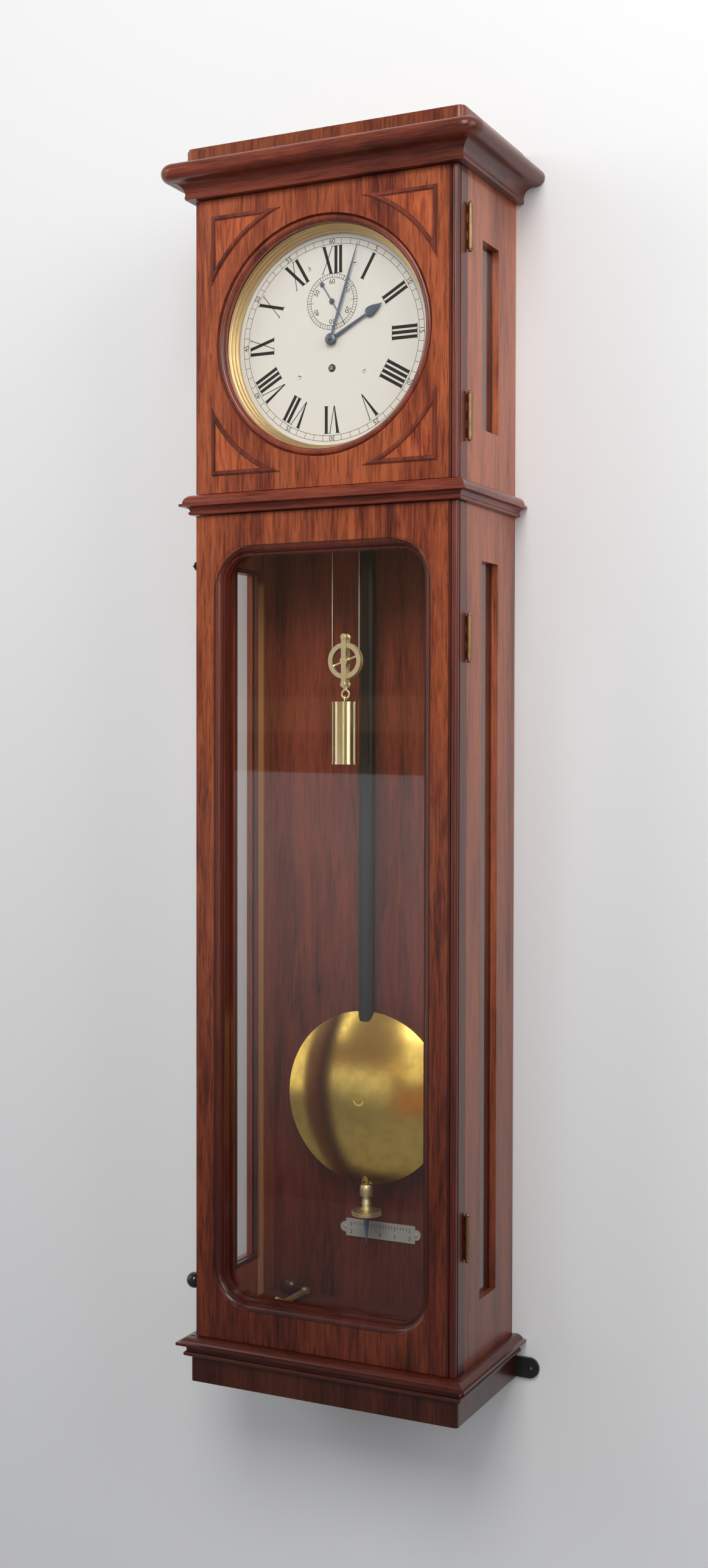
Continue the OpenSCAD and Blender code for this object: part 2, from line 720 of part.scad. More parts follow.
module minute_hand() {
    color(blued) placed() on_axis(front_y + 17.4, dial_z) rotate(-6 * minutes) {
        linear_extrude(0.9) difference() {
            union() {
                polygon([[-2.1, 0], [-1.3, 0.5 * minute_l], [-0.5, minute_l - 2], [0, minute_l],
                    [0.5, minute_l - 2], [1.3, 0.5 * minute_l], [2.1, 0]]);
                circle(5.6);
            }
            circle(1.5);
        }
        difference() {
            translate([0, 0, 0.9]) cylinder(r1 = 4, r2 = 3, h = 1.6);
            translate([0, 0, 0]) cylinder(r = 1.5, h = 5);
        }
    }
}
module hour_hand() {
    l = hour_l;
    color(blued) placed() on_axis(front_y + 15.2, dial_z) rotate(-30 * hours - minutes / 2)
        difference() {
            union() {
                linear_extrude(0.9) polygon([[-2.4, 0], [-1.5, 0.52 * l], [-1, 0.6 * l], [-4.2, 0.68 * l],
                    [-5.4, 0.735 * l], [-4.4, 0.79 * l], [-2, 0.87 * l], [-0.6, 0.95 * l], [0, l],
                    [0.6, 0.95 * l], [2, 0.87 * l], [4.4, 0.79 * l], [5.4, 0.735 * l],
                    [4.2, 0.68 * l], [1, 0.6 * l], [1.5, 0.52 * l], [2.4, 0]]);
                cylinder(r = 7.2, h = 0.9);
            }
            translate([0, 0, -1]) cylinder(r = 4.2, h = 3);
        }
}
module seconds_hand() {
    color(blued) placed() on_axis(dial_y + 0.6, sec_z) rotate(-6 * seconds) difference() {
        union() {
            linear_extrude(0.6) polygon([[-0.9, -24], [-0.9, 8], [-0.3, second_l - 1], [0, second_l],
                [0.3, second_l - 1], [0.9, 8], [0.9, -24]]);
            cylinder(r = 2.6, h = 0.6);
            translate([0, -25, 0]) cylinder(r = 2.5, h = 0.6);
        }
        translate([0, 0, -1]) cylinder(r = 0.8, h = 3);
    }
}

// Line, pulley and weight

module line() {
    t = line_run_r;
    color([0.75, 0.72, 0.6]) placed() translate([axis_x, -weight_y, 0]) {
        translate([t, 0, pulley_z]) cylinder(d = line_d, h = wind_z - pulley_z);
        translate([-t, 0, pulley_z]) cylinder(d = line_d, h = seat_z - 4 - pulley_z);
        translate([0, 0, pulley_z]) rotate([90, 0, 0]) rotate([0, 0, 180])
            rotate_extrude(angle = 180) translate([t, 0]) circle(d = line_d);
    }
}
module line_anchor() {
    color(brass) placed() translate([axis_x - line_run_r, -weight_y, seat_z]) {
        box(-10, 10, -4.5, 4.5, 0, 2.5);
        translate([0, 0, -4]) cylinder(d = 5, h = 5);
    }
}
module pulley_wheel() {
    r = pulley_d / 2;
    g = line_run_r - line_d / 2 - line_g;
    color(brass) placed() on_axis(weight_y - 4, pulley_z) difference() {
        union() {
            rotate_extrude() difference() {
                translate([g - 0.8, 0]) square([r - g + 0.8, 8]);
                translate([g + 2.6, 4]) circle(2.6);
                translate([g + 2.6, 1.4]) square([r, 5.2]);
            }
            for (i = [0:3]) rotate(90 * i + 20) translate([0, -1.1, 2.8]) cube([g - 0.3, 2.2, 2.4]);
            cylinder(r = 4.5, h = 8);
        }
        translate([0, 0, -1]) cylinder(r = 1.5 + fit, h = 10);
    }
}
module pulley_frame() {
    r = pulley_d / 2;
    hi = r + 6.7;
    color(brass) placed() on_axis(weight_y, pulley_z) {
        for (s = [-1, 1]) translate([0, 0, s * 5.6 - 0.8]) linear_extrude(1.6) difference() {
            union() {
                square([6.6, 2 * hi], center = true);
                for (j = [-1, 0, 1]) translate([0, j * hi]) circle(j == 0 ? 5 : 4.3);
            }
            circle(d = 3);
        }
        for (j = [-1, 1]) translate([0, j * hi, -4.8]) cylinder(d = 5, h = 9.6);
        translate([0, -hi - 7, 0]) rotate([90, 0, 0]) translate([0, 0, -6]) cylinder(d = 6, h = 6);
    }
    color(blued) placed() on_axis(weight_y, pulley_z) {
        translate([0, 0, -6.4]) cylinder(d = 3, h = 13.4);
        for (j = [-1, 1]) translate([0, j * hi, 6.4]) cylinder(d = 5.4, h = 1.2);
    }
    color(steel) placed() on_axis(weight_y, pulley_z) translate([0, -hi - 12, 0])
        rotate_extrude() translate([5, 0]) circle(1.2);
}
module weight() {
    r = weight_d / 2;
    top = pulley_z - pulley_d / 2 - 6.7 - 12 - 5.6;
    color(pale_brass) placed() translate([axis_x, -weight_y, top - 4]) {
        translate([0, 0, -weight_h]) cylinder(r = r - 0.5, h = weight_h);
        for (z = [-weight_h, -2]) translate([0, 0, z]) cylinder(r = r, h = 2);
        cylinder(r1 = r - 3, r2 = 5, h = 0.8);
    }
    color(steel) placed() translate([axis_x, -weight_y, top]) rotate([90, 0, 90])
        rotate_extrude() translate([3.2, 0]) circle(1.2);
}

// Pendulum

module suspension_spring() {
    color(steel) placed() translate([axis_x, -pend_y, piv_z]) {
        box(-0.15, 0.15, -4.5, 4.5, -18, 0);
        box(-5, 5, -6, 6, -54, -18);
        translate([-8, 0, -40]) rotate([0, 90, 0]) cylinder(d = 3, h = 16);
    }
}
module pendulum_rod() {
    color(ebony) placed() translate([axis_x, -pend_y, 0]) {
        translate([0, 0, bob_z - 47]) linear_extrude(piv_z - 54 - bob_z + 47) {
            square([rod_w - rod_t, rod_t], center = true);
            for (i = [-1, 1]) translate([i * (rod_w - rod_t) / 2, 0]) circle(rod_t / 2);
        }
    }
}
module pointer() {
    color(steel) placed() translate([axis_x, -pend_y, 0]) {
        translate([0, 0, bob_z - 151.5]) cylinder(d = 5, h = 104.5);
    }
    color(blued) placed() translate([axis_x, -pend_y, bob_z - 187]) {
        cylinder(d1 = 0.8, d2 = 7, h = 31.5);
        translate([0, 0, 31.5]) cylinder(d = 7, h = 4);
    }
}
module bob() {
    h = bob_t / 2;
    R = (bob_r * bob_r + (h - 2) * (h - 2)) / (2 * (h - 2));
    flat = (rod_w - rod_t) / 2;
    color(brass) placed() translate([axis_x, -pend_y, bob_z]) difference() {
        union() {
            rotate([90, 0, 0]) rotate_extrude($fn = 120) intersection() {
                translate([0, R - h]) circle(R, $fn = 360);
                translate([0, h - R]) circle(R, $fn = 360);
                translate([0, -h]) square([bob_r, 2 * h]);
            }
            translate([0, 0, -nut_dn]) cylinder(d = 13, h = nut_dn - 55);
            translate([0, 0, -nut_dn]) cylinder(d = 16.4, h = 3.2);
        }
        translate([-flat, -rod_t / 2 - 0.15, -55]) cube([2 * flat, rod_t + 0.3, 2 * bob_r]);
        for (i = [-1, 1]) translate([i * flat, 0, -55]) cylinder(d = rod_t + 0.3, h = 2 * bob_r);
        translate([0, 0, -150]) cylinder(d = 5.6, h = 100);
        translate([0, 0, -107]) rotate([90, 0, 0]) cylinder(d = 3, h = 20, center = true);
    }
}
module rating_nut() {
    color(pale_brass) placed() translate([axis_x, -pend_y, bob_z - nut_dn - nut_h - 0.1]) difference() {
        union() {
            linear_extrude(2.2) polygon(toothed(60, nut_d / 2, nut_d / 2 - 0.6, 0.35, 0.6, 0));
            translate([0, 0, 3.2]) linear_extrude(2) polygon(toothed(60, nut_d / 2, nut_d / 2 - 0.6, 0.35, 0.6, 0));
            translate([0, 0, 1]) cylinder(r = nut_d / 2 - 2, h = 3);
            translate([0, 0, 5]) cylinder(r1 = nut_d / 2 - 4, r2 = 8.5, h = 2.6);
            translate([0, 0, 7]) cylinder(r1 = 9.2, r2 = 5.6, h = 4);
            translate([0, 0, 10]) cylinder(r1 = 5.2, r2 = 6.6, h = 4.5);
            translate([0, 0, 14.4]) cylinder(r1 = 6.6, r2 = 5, h = 6);
            translate([0, 0, 20.2]) cylinder(r = 5.6, h = nut_h - 20.2);
        }
        translate([0, 0, -1]) cylinder(d = 5 + 2 * fit, h = nut_h + 2);
    }
}

// Hood door

module door_block(z0, h) {
    difference() {
        translate([-hx, z0]) square([case_w, h]);
        children();
    }
}
module bead_edge(z0, h) {
    difference() {
        children();
        box(hx - 2 * bead_r + 1, hx + 1, -case_d - 1, -case_d + 2 * bead_r - 1, z0 - 1, z0 + h + 1);
    }
    translate([hx - bead_r, -case_d + bead_r, z0]) cylinder(r = bead_r, h = h);
}
module door_leaf_seat(zc) {
    box(hx - side_t + 2, hx + 1, -joint_y - 1.3, -joint_y + 1,
        zc - hinge_l / 2 - 0.1, zc + hinge_l / 2 + 0.1);
}
module hood_door() {
    z0 = z_hood + door_gap;
    h = hood_h - 2 * door_gap;
    color(wood) placed() bead_edge(z0, h) difference() {
        facing(joint_y) linear_extrude(door_t) translate([-hx, z0]) square([case_w, h]);
        on_axis(joint_y + door_t - ring_sink, dial_z) cylinder(r = ring_r, h = 40, $fn = 180);
        on_axis(joint_y - 1, dial_z) cylinder(r = ring_r - ring_w + 4, h = 60, $fn = 180);
        for (z = hinge_hood) door_leaf_seat(z);
    }
}
module door_ring() {
    w = ring_w;
    color(dark_wood) placed() on_axis(joint_y + door_t - ring_sink, dial_z)
        rotate_extrude($fn = 180) translate([ring_r - w, 0]) intersection() {
            square([w, ring_sink]);
            union() {
                square([w, 3]);
                translate([w - 2, 0]) square([2, ring_sink - 2]);
                translate([w - 1, 1]) circle(ring_sink - 2.2);
            }
        }
}
module spandrel(inset) {
    difference() {
        translate([40, 60]) square([span_x - inset - 40, span_z - inset - 60]);
        circle(span_r + inset, $fn = 180);
    }
}
module spandrel_beads() {
    color(dark_wood) placed() on_axis(case_d, dial_z) for (i = [0, 1], j = [0, 1])
        mirror([i, 0]) mirror([0, j]) {
            linear_extrude(1.2) difference() { spandrel(0); spandrel(span_bead); }
            translate([0, 0, 1.2]) linear_extrude(1) difference() {
                spandrel(1.2);
                spandrel(span_bead - 1.2);
            }
        }
}
module spandrel_panels() {
    color([0.62, 0.3, 0.16]) placed() on_axis(case_d, dial_z) for (i = [0, 1], j = [0, 1])
        mirror([i, 0]) mirror([0, j]) linear_extrude(0.6) spandrel(span_bead);
}
module hood_glass() {
    r = ring_r - ring_w + 4;
    color(pane) placed() on_axis(joint_y + door_t - ring_sink - glass_t, dial_z)
        cylinder(r = r - 0.2, h = glass_t, $fn = 180);
}
module sight_ring() {
    d = door_t - ring_sink - glass_t;
    r = ring_r - ring_w + 3.8;
    color(brass) placed() on_axis(joint_y, dial_z) rotate_extrude($fn = 180) difference() {
        translate([sight_r, 0]) square([r - sight_r, d]);
        translate([sight_r - 1, 3]) square([3.2, d]);
        translate([sight_r - 1, d - 7]) square([5.2, d]);
        translate([sight_r + 2.2, 3]) circle(1.2);
    }
}

module knuckle(zc, k) {
    s = hinge_l / 5;
    translate([axle_x, -joint_y, zc - hinge_l / 2 + k * s + 0.06]) cylinder(d = hinge_d, h = s - 0.12);
}
module hinge_half(zc, ks, y0, y1) {
    s = hinge_l / 5;
    difference() {
        union() {
            for (k = ks) {
                knuckle(zc, k);
                box(hx - 2, axle_x, y0, y1, zc - hinge_l / 2 + k * s + 0.06, zc - hinge_l / 2 + (k + 1) * s - 0.06);
            }
            box(hx - side_t + 2, hx - 0.3, y0, y1, zc - hinge_l / 2, zc + hinge_l / 2);
        }
        translate([axle_x, -joint_y, zc - hinge_l]) cylinder(r = 1.5 + fit, h = 2 * hinge_l);
    }
}
module hinge_posts() {
    color([0.6, 0.48, 0.28]) placed() for (z = concat(hinge_hood, hinge_trunk)) {
        hinge_half(z, [0, 2, 4], -carcass_d, -carcass_d + 1.3);
        translate([axle_x, -joint_y, z - hinge_l / 2 - 1]) cylinder(r = 1.5, h = hinge_l + 2);
        for (s = [-1, 1]) translate([axle_x, -joint_y, z + s * (hinge_l / 2 + 2.1)]) {
            sphere(d = hinge_d - 1.4);
            translate([0, 0, -s * 1.6 - 0.45]) cylinder(d = hinge_d - 0.6, h = 0.9);
        }
    }
}
module hood_hinges() {
    color([0.6, 0.48, 0.28]) placed() for (z = hinge_hood)
        hinge_half(z, [1, 3], -joint_y - 1.3, -joint_y);
}

// Trunk door

module trunk_hinges() {
    color([0.5, 0.4, 0.25]) placed() for (z = hinge_trunk)
        hinge_half(z, [1, 3], -joint_y - 1.3, -joint_y);
}
module trunk_place() {
    translate([open_x, 0, z_base + bottom_rail + open_h / 2]) facing(joint_y) children();
}
module trunk_door() {
    z0 = z_base + door_gap;
    h = trunk_h - 2 * door_gap;
    w = open_w;
    m = open_mould;
    step = door_t - open_sink;
    q = open_sink - 0.6;
    color(wood) placed() {
        bead_edge(z0, h) difference() {
            facing(joint_y) linear_extrude(door_t) translate([-hx, z0]) square([case_w, h]);
            trunk_place() {
                translate([0, 0, step]) linear_extrude(40) rrect(w, open_h, open_r);
                translate([0, 0, -1]) linear_extrude(60) rrect(w - 2 * m, open_h - 2 * m, open_r - m);
                translate([0, 0, -1]) linear_extrude(9) rrect(w - 2 * m + 2 * rebate,
                    open_h - 2 * m + 2 * rebate, open_r - m + rebate);
            }
            for (z = hinge_trunk) door_leaf_seat(z);
        }
        trunk_place() translate([0, 0, step]) {
            for (i = [0, 1]) mirror([i, 0, 0]) {
                translate([w / 2, 0, 0]) rotate([90, 0, 0])
                    cylinder(r = q, h = open_h - 2 * open_r, center = true);
                mirror([0, i, 0]) translate([0, open_h / 2, 0]) rotate([0, 90, 0])
                    cylinder(r = q, h = w - 2 * open_r, center = true);
            }
            for (i = [0, 1], j = [0, 1]) mirror([i, 0, 0]) mirror([0, j, 0])
                translate([w / 2 - open_r, open_h / 2 - open_r, 0])
                    rotate_extrude(angle = 90) translate([open_r, 0]) circle(q);
        }
    }
}
module trunk_glass() {
    w = open_w - 2 * open_mould + 2 * rebate - 0.6;
    color(pane) placed() trunk_place() translate([0, 0, 8 - glass_t]) linear_extrude(glass_t)
        rrect(w, open_h - 2 * open_mould + 2 * rebate - 0.6, open_r - open_mould + rebate - 0.3);
}
module trunk_glass_bead() {
    w = open_w - 2 * open_mould + 2 * rebate;
    h = open_h - 2 * open_mould + 2 * rebate;
    r = open_r - open_mould + rebate;
    color(dark_wood) placed() trunk_place() linear_extrude(8 - glass_t) difference() {
        rrect(w, h, r);
        rrect(w - 2 * rebate, h - 2 * rebate, r - rebate);
    }
}
module trunk_knobs() {
    y = -(joint_y + case_d) / 2;
    color(ebony) placed() translate([-hx, y, z_base + 65]) rotate([0, -90, 0])
        rotate_extrude() union() {
            square([5.5, 6]);
            square([7.5, 1.6]);
            difference() {
                translate([0, 11]) circle(10);
                translate([-12, -2]) square([12, 26]);
                translate([0, -4]) square([12, 8]);
                translate([0, 19]) square([12, 8]);
            }
        }
    color(brass) placed() translate([-hx, y, z_mid - 61]) rotate([0, -90, 0]) {
        cylinder(d = 16, h = 2);
        cylinder(d = 7, h = 9);
        translate([0, 0, 9]) cylinder(d1 = 7, d2 = 2, h = 4);
        translate([0, 0, 6.5]) cylinder(d = 11, h = 2);
    }
}

// Winding crank lying on the floor of the trunk

module crank_frame() {
    translate([-123, -72, floor_z + 4.3]) rotate([0, 0, -21.9]) rotate([12, 0, 0]) children();
}
module winding_crank() {
    color(brass) placed() crank_frame() {
        difference() {
            union() {
                rotate([0, 90, 0]) cylinder(d = 7, h = 64);
                rotate([0, 90, 0]) cylinder(d = 8.4, h = 3);
                translate([30, 0, 0]) rotate([0, 90, 0]) cylinder(d = 8.2, h = 4);
                translate([12, 0, -2]) cube([7, 38, 4]);
            }
            translate([40, -2.6, -2.6]) cube([30, 5.2, 5.2]);
        }
        translate([14, 38, 0]) rotate([0, -90, 0]) cylinder(d = 3.2, h = 45);
        translate([19, 38, 0]) rotate([0, -90, 0]) cylinder(d = 8, h = 7);
        translate([-31, 38, 0]) rotate([0, -90, 0]) cylinder(d = 6, h = 1.4);
    }
}
module crank_handle() {
    color(ebony) placed() crank_frame() translate([11.8, 38, 0]) rotate([0, -90, 0])
        rotate_extrude() difference() {
            union() {
                translate([1.8, 0]) square([4.4, 42]);
                translate([1.8, 2]) square([5.2, 3]);
                intersection() {
                    translate([-6, 29]) circle(17.6);
                    translate([1.8, 8]) square([20, 34]);
                }
                translate([1.8, 34]) square([9.4, 2.4]);
            }
            translate([-3, -1]) square([4.8, 60]);
        }
}

backboard();
side_left();
side_right();
side_panes();
pane_beads();
cornice();
crest();
mid_moulding();
cross_rail();
base_moulding();
plinth();
floor_board();
hang_plate();
wall_bar();
seatboard();
seat_cheeks();
beat_scale();
suspension_cock();
line_anchor();
front_plate();
back_plate();
pillars();
dial_plate();
dial_screws();
hinge_posts();
line();
winding_crank();
crank_handle();
hood_door();
door_ring();
spandrel_beads();
spandrel_panels();
hood_glass();
sight_ring();
hood_hinges();
trunk_door();
trunk_glass();
trunk_glass_bead();
trunk_hinges();
trunk_knobs();
centre_wheel();
minute_hand();
hour_wheel();
hour_hand();
minute_wheel();
third_wheel();
escape_wheel();
seconds_hand();
great_wheel();
barrel();
pallets();
suspension_spring();
pendulum_rod();
pointer();
bob();
rating_nut();
weight();
pulley_frame();
pulley_wheel();
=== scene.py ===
"""Finishes and fine detail for a wall-hung regulator clock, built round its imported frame."""
import math

import bpy
import numpy as np
from bpy.props import FloatProperty, FloatVectorProperty, IntProperty, PointerProperty
from mathutils import Euler, Matrix, Vector


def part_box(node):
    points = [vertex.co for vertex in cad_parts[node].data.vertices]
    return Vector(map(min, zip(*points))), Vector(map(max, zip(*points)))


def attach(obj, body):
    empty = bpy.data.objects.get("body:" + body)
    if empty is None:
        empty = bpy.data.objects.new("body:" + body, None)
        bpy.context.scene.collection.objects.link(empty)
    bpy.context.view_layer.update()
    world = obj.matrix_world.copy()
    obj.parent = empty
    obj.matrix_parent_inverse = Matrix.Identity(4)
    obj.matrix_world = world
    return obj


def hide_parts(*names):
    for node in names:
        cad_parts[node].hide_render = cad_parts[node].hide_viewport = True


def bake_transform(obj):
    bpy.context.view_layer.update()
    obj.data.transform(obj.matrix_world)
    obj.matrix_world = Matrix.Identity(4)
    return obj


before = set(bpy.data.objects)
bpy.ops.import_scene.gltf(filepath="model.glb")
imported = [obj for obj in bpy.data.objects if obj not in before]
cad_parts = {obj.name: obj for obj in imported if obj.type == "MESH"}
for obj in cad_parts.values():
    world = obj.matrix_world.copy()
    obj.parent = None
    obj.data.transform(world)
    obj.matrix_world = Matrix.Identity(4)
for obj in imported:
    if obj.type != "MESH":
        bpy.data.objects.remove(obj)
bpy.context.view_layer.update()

bl_info = {
    "name": "Wall regulator clock",
    "version": (1, 0, 0),
    "blender": (4, 5, 0),
    "location": "View3D > Sidebar > Regulator",
    "description": "Finishes, dial marks, line and small fittings for a wall regulator clock",
    "category": "Object",
}

SECONDS_UP = 0.046
LINE_RADIUS = 0.00075


def middle(node):
    """The middle of a CAD node's box."""
    low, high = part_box(node)
    return (low + high) / 2


def scaled(tint, share):
    """A colour times a number."""
    return tuple(share * v for v in tint)


DIAL = middle("dial_plate")
DIAL.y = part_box("dial_plate")[0].y
SECONDS = DIAL + Vector((0.0, 0.0, SECONDS_UP))


# Sizes and colours

def number(label, about, default, **limits):
    """A FloatProperty with its limits and unit, if it has any."""
    return FloatProperty(name=label, description=about, default=default, **limits)


def length(label, about, default, low=0.0, high=10.0):
    """A FloatProperty in metres."""
    return number(label, about, default, min=low, max=high, unit="LENGTH", precision=5)


def degrees(label, about, default):
    """A FloatProperty for an angle whose default is given in degrees."""
    return number(label, about, math.radians(default), unit="ROTATION")


def colour(label, about, default):
    """A linear colour property."""
    return FloatVectorProperty(name=label, description=about, default=default, size=3,
                               min=0.0, max=1.0, subtype="COLOR")


class REG_PG_dial(bpy.types.PropertyGroup):
    """Sizes of what is engraved on the dial."""
    track_outer: length("Track", "Outer radius of the minute track", 0.122)
    track_inner: length("Track foot", "Inner radius of the minute track", 0.1152)
    hair: length("Hairline", "Width of the engraved lines", 0.00050)
    roman_foot: length("Roman foot", "Radius at the numerals' feet", 0.0795)
    roman_top: length("Roman top", "Radius at the numerals' heads", 0.1128)
    stem: length("Stem", "Width of a numeral's thick stroke", 0.0040)
    step: length("Step", "Distance between a numeral's strokes", 0.0063)
    serif: length("Serif", "Height of the serifs", 0.00062)
    figures: length("Figures", "Height of the minute figures", 0.0058)
    seconds_outer: length("Seconds", "Outer radius of the seconds track", 0.0336)
    seconds_inner: length("Seconds foot", "Inner radius of the seconds track", 0.0287)
    seconds_figures: length("Seconds figures", "Height of the seconds figures", 0.0058)
    proud: length("Wax", "Height of the wax over the silvering", 0.00005)
    minutes: number("Minutes", "Minutes that the hands show", 3.0)
    hours: number("Hours", "Hours that the hands show", 2.0)
    seconds: number("Seconds", "Seconds that the small hand shows", 24.7)
    spade_foot: length("Spade foot", "Distance from the centre to the hour hand's spade", 0.0525)
    spade_half: length("Spade", "Half the width of the spade", 0.0061)


class REG_PG_colours(bpy.types.PropertyGroup):
    """Colours of the woods, metals and stage."""
    red_light: colour("Veneer light", "Light bands of the front veneer", (0.41, 0.094, 0.029))
    red_mid: colour("Veneer", "Body of the front veneer", (0.225, 0.038, 0.013))
    red_dark: colour("Veneer dark", "Dark streaks of the front veneer", (0.048, 0.008, 0.005))
    side_light: colour("Side light", "Light bands of the sides", (0.55, 0.150, 0.062))
    side_mid: colour("Side", "Body of the sides", (0.38, 0.094, 0.040))
    mould_light: colour("Moulding light", "Light bands of the mouldings", (0.24, 0.046, 0.022))
    mould_mid: colour("Moulding", "Body of the mouldings", (0.125, 0.022, 0.012))
    mould_dark: colour("Moulding dark", "Dark lines of the mouldings", (0.038, 0.008, 0.006))
    inner_mid: colour("Inside", "Body of the wood inside the case", (0.235, 0.046, 0.021))
    brass: colour("Brass", "Polished yellow brass", (0.84, 0.58, 0.21))
    satin: colour("Satin brass", "Satin brass of the sight ring", (0.74, 0.55, 0.30))
    bob: colour("Bob", "Yellow brass of the bob", (0.94, 0.66, 0.16))
    pale_brass: colour("Pale brass", "Lacquered pale brass", (0.95, 0.84, 0.53))
    bronze: colour("Hinge brass", "Aged brass of the hinges", (0.31, 0.19, 0.095))
    silver: colour("Silvering", "Silvered dial", (0.86, 0.815, 0.755))
    blue: colour("Blued steel", "Hands and screws", (0.15, 0.20, 0.28))
    gut: colour("Line", "Waxed gut line", (0.66, 0.56, 0.40))
    wall: colour("Wall", "Pale wall behind the clock", (0.86, 0.86, 0.86))


class REG_PG_stage(bpy.types.PropertyGroup):
    """Camera, lamps and backdrop."""
    camera: FloatVectorProperty(name="Camera", description="Camera's place", size=3, unit="LENGTH",
                                default=(0.9691, -2.0915, -0.6466))
    yaw: degrees("Yaw", "Turn to the left", 25.924)
    pitch: degrees("Pitch", "Tilt down", -1.2207)
    roll: degrees("Roll", "Roll", 0.103)
    lens: number("Lens", "Focal length in millimetres on a 36 mm long side", 40.90)
    key: number("Key", "Power of the front lamp in watts", 68.0)
    side: number("Side", "Power of the right-hand lamp in watts", 34.0)
    fill: number("Fill", "Power of the left-hand lamp in watts", 20.0)
    sky: number("Sky", "Strength of the world", 0.51)
    floor: length("Floor", "Height of the floor", -2.2, -5.0, 0.0)


class REG_PG_line(bpy.types.PropertyGroup):
    """The line that carries the pulley."""
    radius: length("Radius", "Radius of the line", 0.00072)
    lay: length("Lay", "Length of one turn of its strands", 0.0052)
    strands: IntProperty(name="Strands", description="Strands in the line", default=3)


def props():
    """The property groups of the scene, by a short name."""
    s = bpy.context.scene
    return s.reg_dial, s.reg_colours, s.reg_stage, s.reg_line


# Surfaces

def linked(name, data):
    """A new object with its data, linked to the scene."""
    holder = bpy.data.objects.new(name, data)
    bpy.context.scene.collection.objects.link(holder)
    return holder


def new_piece(name, body, finish, slot_name, points, faces, smooth=True):
    """A mesh of points and faces with its finish, riding on a body."""
    piece = linked(name, bpy.data.meshes.new(name))
    piece.data.materials.append(FINISHES[finish])
    fill_mesh(piece.data, points, faces, smooth)
    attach(piece, body)
    return piece


def fill_mesh(mesh, points, faces, smooth=True):
    """Puts an array of points and a list or an array of faces into a mesh."""
    mesh.from_pydata(points.tolist(), [], [[int(i) for i in face] for face in faces],
                     shade_flat=not smooth)
    mesh.validate()


def grid_faces(rows, columns, wrap_rows=False, wrap_columns=False):
    """Faces between neighbours of a grid of points, wrapped round where a side closes."""
    i = np.arange(rows if wrap_rows else rows - 1)
    j = np.arange(columns if wrap_columns else columns - 1)
    i, j = (a.ravel() for a in np.meshgrid(i, j, indexing="ij"))
    i2, j2 = (i + 1) % rows, (j + 1) % columns
    return np.stack([i * columns + j, i2 * columns + j, i2 * columns + j2, i * columns + j2], 1)


def oblong(u, v):
    """The outline of an upright oblong of half sizes u and v about the origin."""
    return np.array([[(-u, -v), (u, -v), (u, v), (-u, v)]])


def slabs(outlines, height, centre):
    """Thin closed slabs about a centre: each outline of four (x, z) corners, taken at y = 0 and at
    y = -height."""
    flat = np.concatenate(outlines)
    area = np.sum(flat[:, :, 0] * np.roll(flat[:, :, 1], -1, 1)
                  - np.roll(flat[:, :, 0], -1, 1) * flat[:, :, 1], 1)
    flat = np.where((area < 0)[:, None, None], flat[:, ::-1], flat)
    n = len(flat)
    back = np.stack([flat[:, :, 0], np.zeros((n, 4)), flat[:, :, 1]], 2)
    front = back - np.array([0, height, 0])
    points = np.concatenate([back, front], 1).reshape(-1, 3)
    box = np.array([[4, 5, 6, 7], [3, 2, 1, 0], [0, 1, 5, 4], [1, 2, 6, 5], [2, 3, 7, 6], [3, 0, 4, 7]])
    quads = (np.arange(n)[:, None, None] * 8 + box[None]).reshape(-1, 4)
    return points + np.array(centre), quads


def ring_quads(inner, outer, count=180):
    """Four-cornered (x, z) outlines that make up a flat ring."""
    a = np.linspace(0, 2 * math.pi, count + 1)
    c, s = np.cos(a), np.sin(a)
    corner = [np.stack([r * q[:-1] if k == 0 else r * q[1:] for q in (c, s)], 1)
              for r, k in ((inner, 0), (outer, 0), (outer, 1), (inner, 1))]
    return np.stack(corner, 1)


def tick_quads(angles, inner, outer, width):
    """Radial strokes at clockwise angles from the top, as (x, z) outlines."""
    out = np.stack([np.sin(angles), np.cos(angles)], 1)
    side = np.stack([np.cos(angles), -np.sin(angles)], 1) * width / 2
    return np.stack([inner * out - side, outer * out - side, outer * out + side, inner * out + side], 1)


def turned(outlines, angle, radius):
    """Outlines drawn upright over a foot at the origin, set at a clockwise angle on a radius."""
    out = np.array([math.sin(angle), math.cos(angle)])
    side = np.array([math.cos(angle), -math.sin(angle)])
    return outlines[..., :1] * side + (outlines[..., 1:] + radius) * out


def rounded(profile, radius, steps=4):
    """A closed (r, y) profile whose corners are curves p + (1-t)^2 a + t^2 b of a given reach."""
    p = np.asarray(profile, float)
    t = np.linspace(0, 1, steps)[:, None]
    out = []
    for before, here, after in zip(np.roll(p, 1, 0), p, np.roll(p, -1, 0)):
        a, b = before - here, after - here
        la, lb = np.linalg.norm(a), np.linalg.norm(b)
        a, b = a * min(0.45, radius / la), b * min(0.45, radius / lb)
        out.append(here + (1 - t) ** 2 * a + t ** 2 * b)
    return np.concatenate(out)


def revolved(profile, centre, count=180):
    """A closed (r, y) profile turned about an axis along y: (r sin a, y, r cos a) about a centre."""
    a = np.arange(count) * 2 * math.pi / count
    r, y = profile[:, :1], profile[:, 1:]
    points = np.stack([r * np.sin(a), np.repeat(y, count, 1), r * np.cos(a)], 2)
    centre = np.array([centre[0], 0.0, centre[2]])
    return points.reshape(-1, 3) + centre, grid_faces(len(profile), count, True, True)


def washer(inner, outer, back, front, soft=0.0003):
    """The (r, y) profile of a flat ring with softened edges."""
    return rounded([(inner, back), (inner, front), (outer, front), (outer, back)], soft)


def stood_up(shape):
    """A shape turned about y, stood on end to be turned about z: y and z change places."""
    points, faces = shape
    return points[:, [0, 2, 1]], faces[:, ::-1]


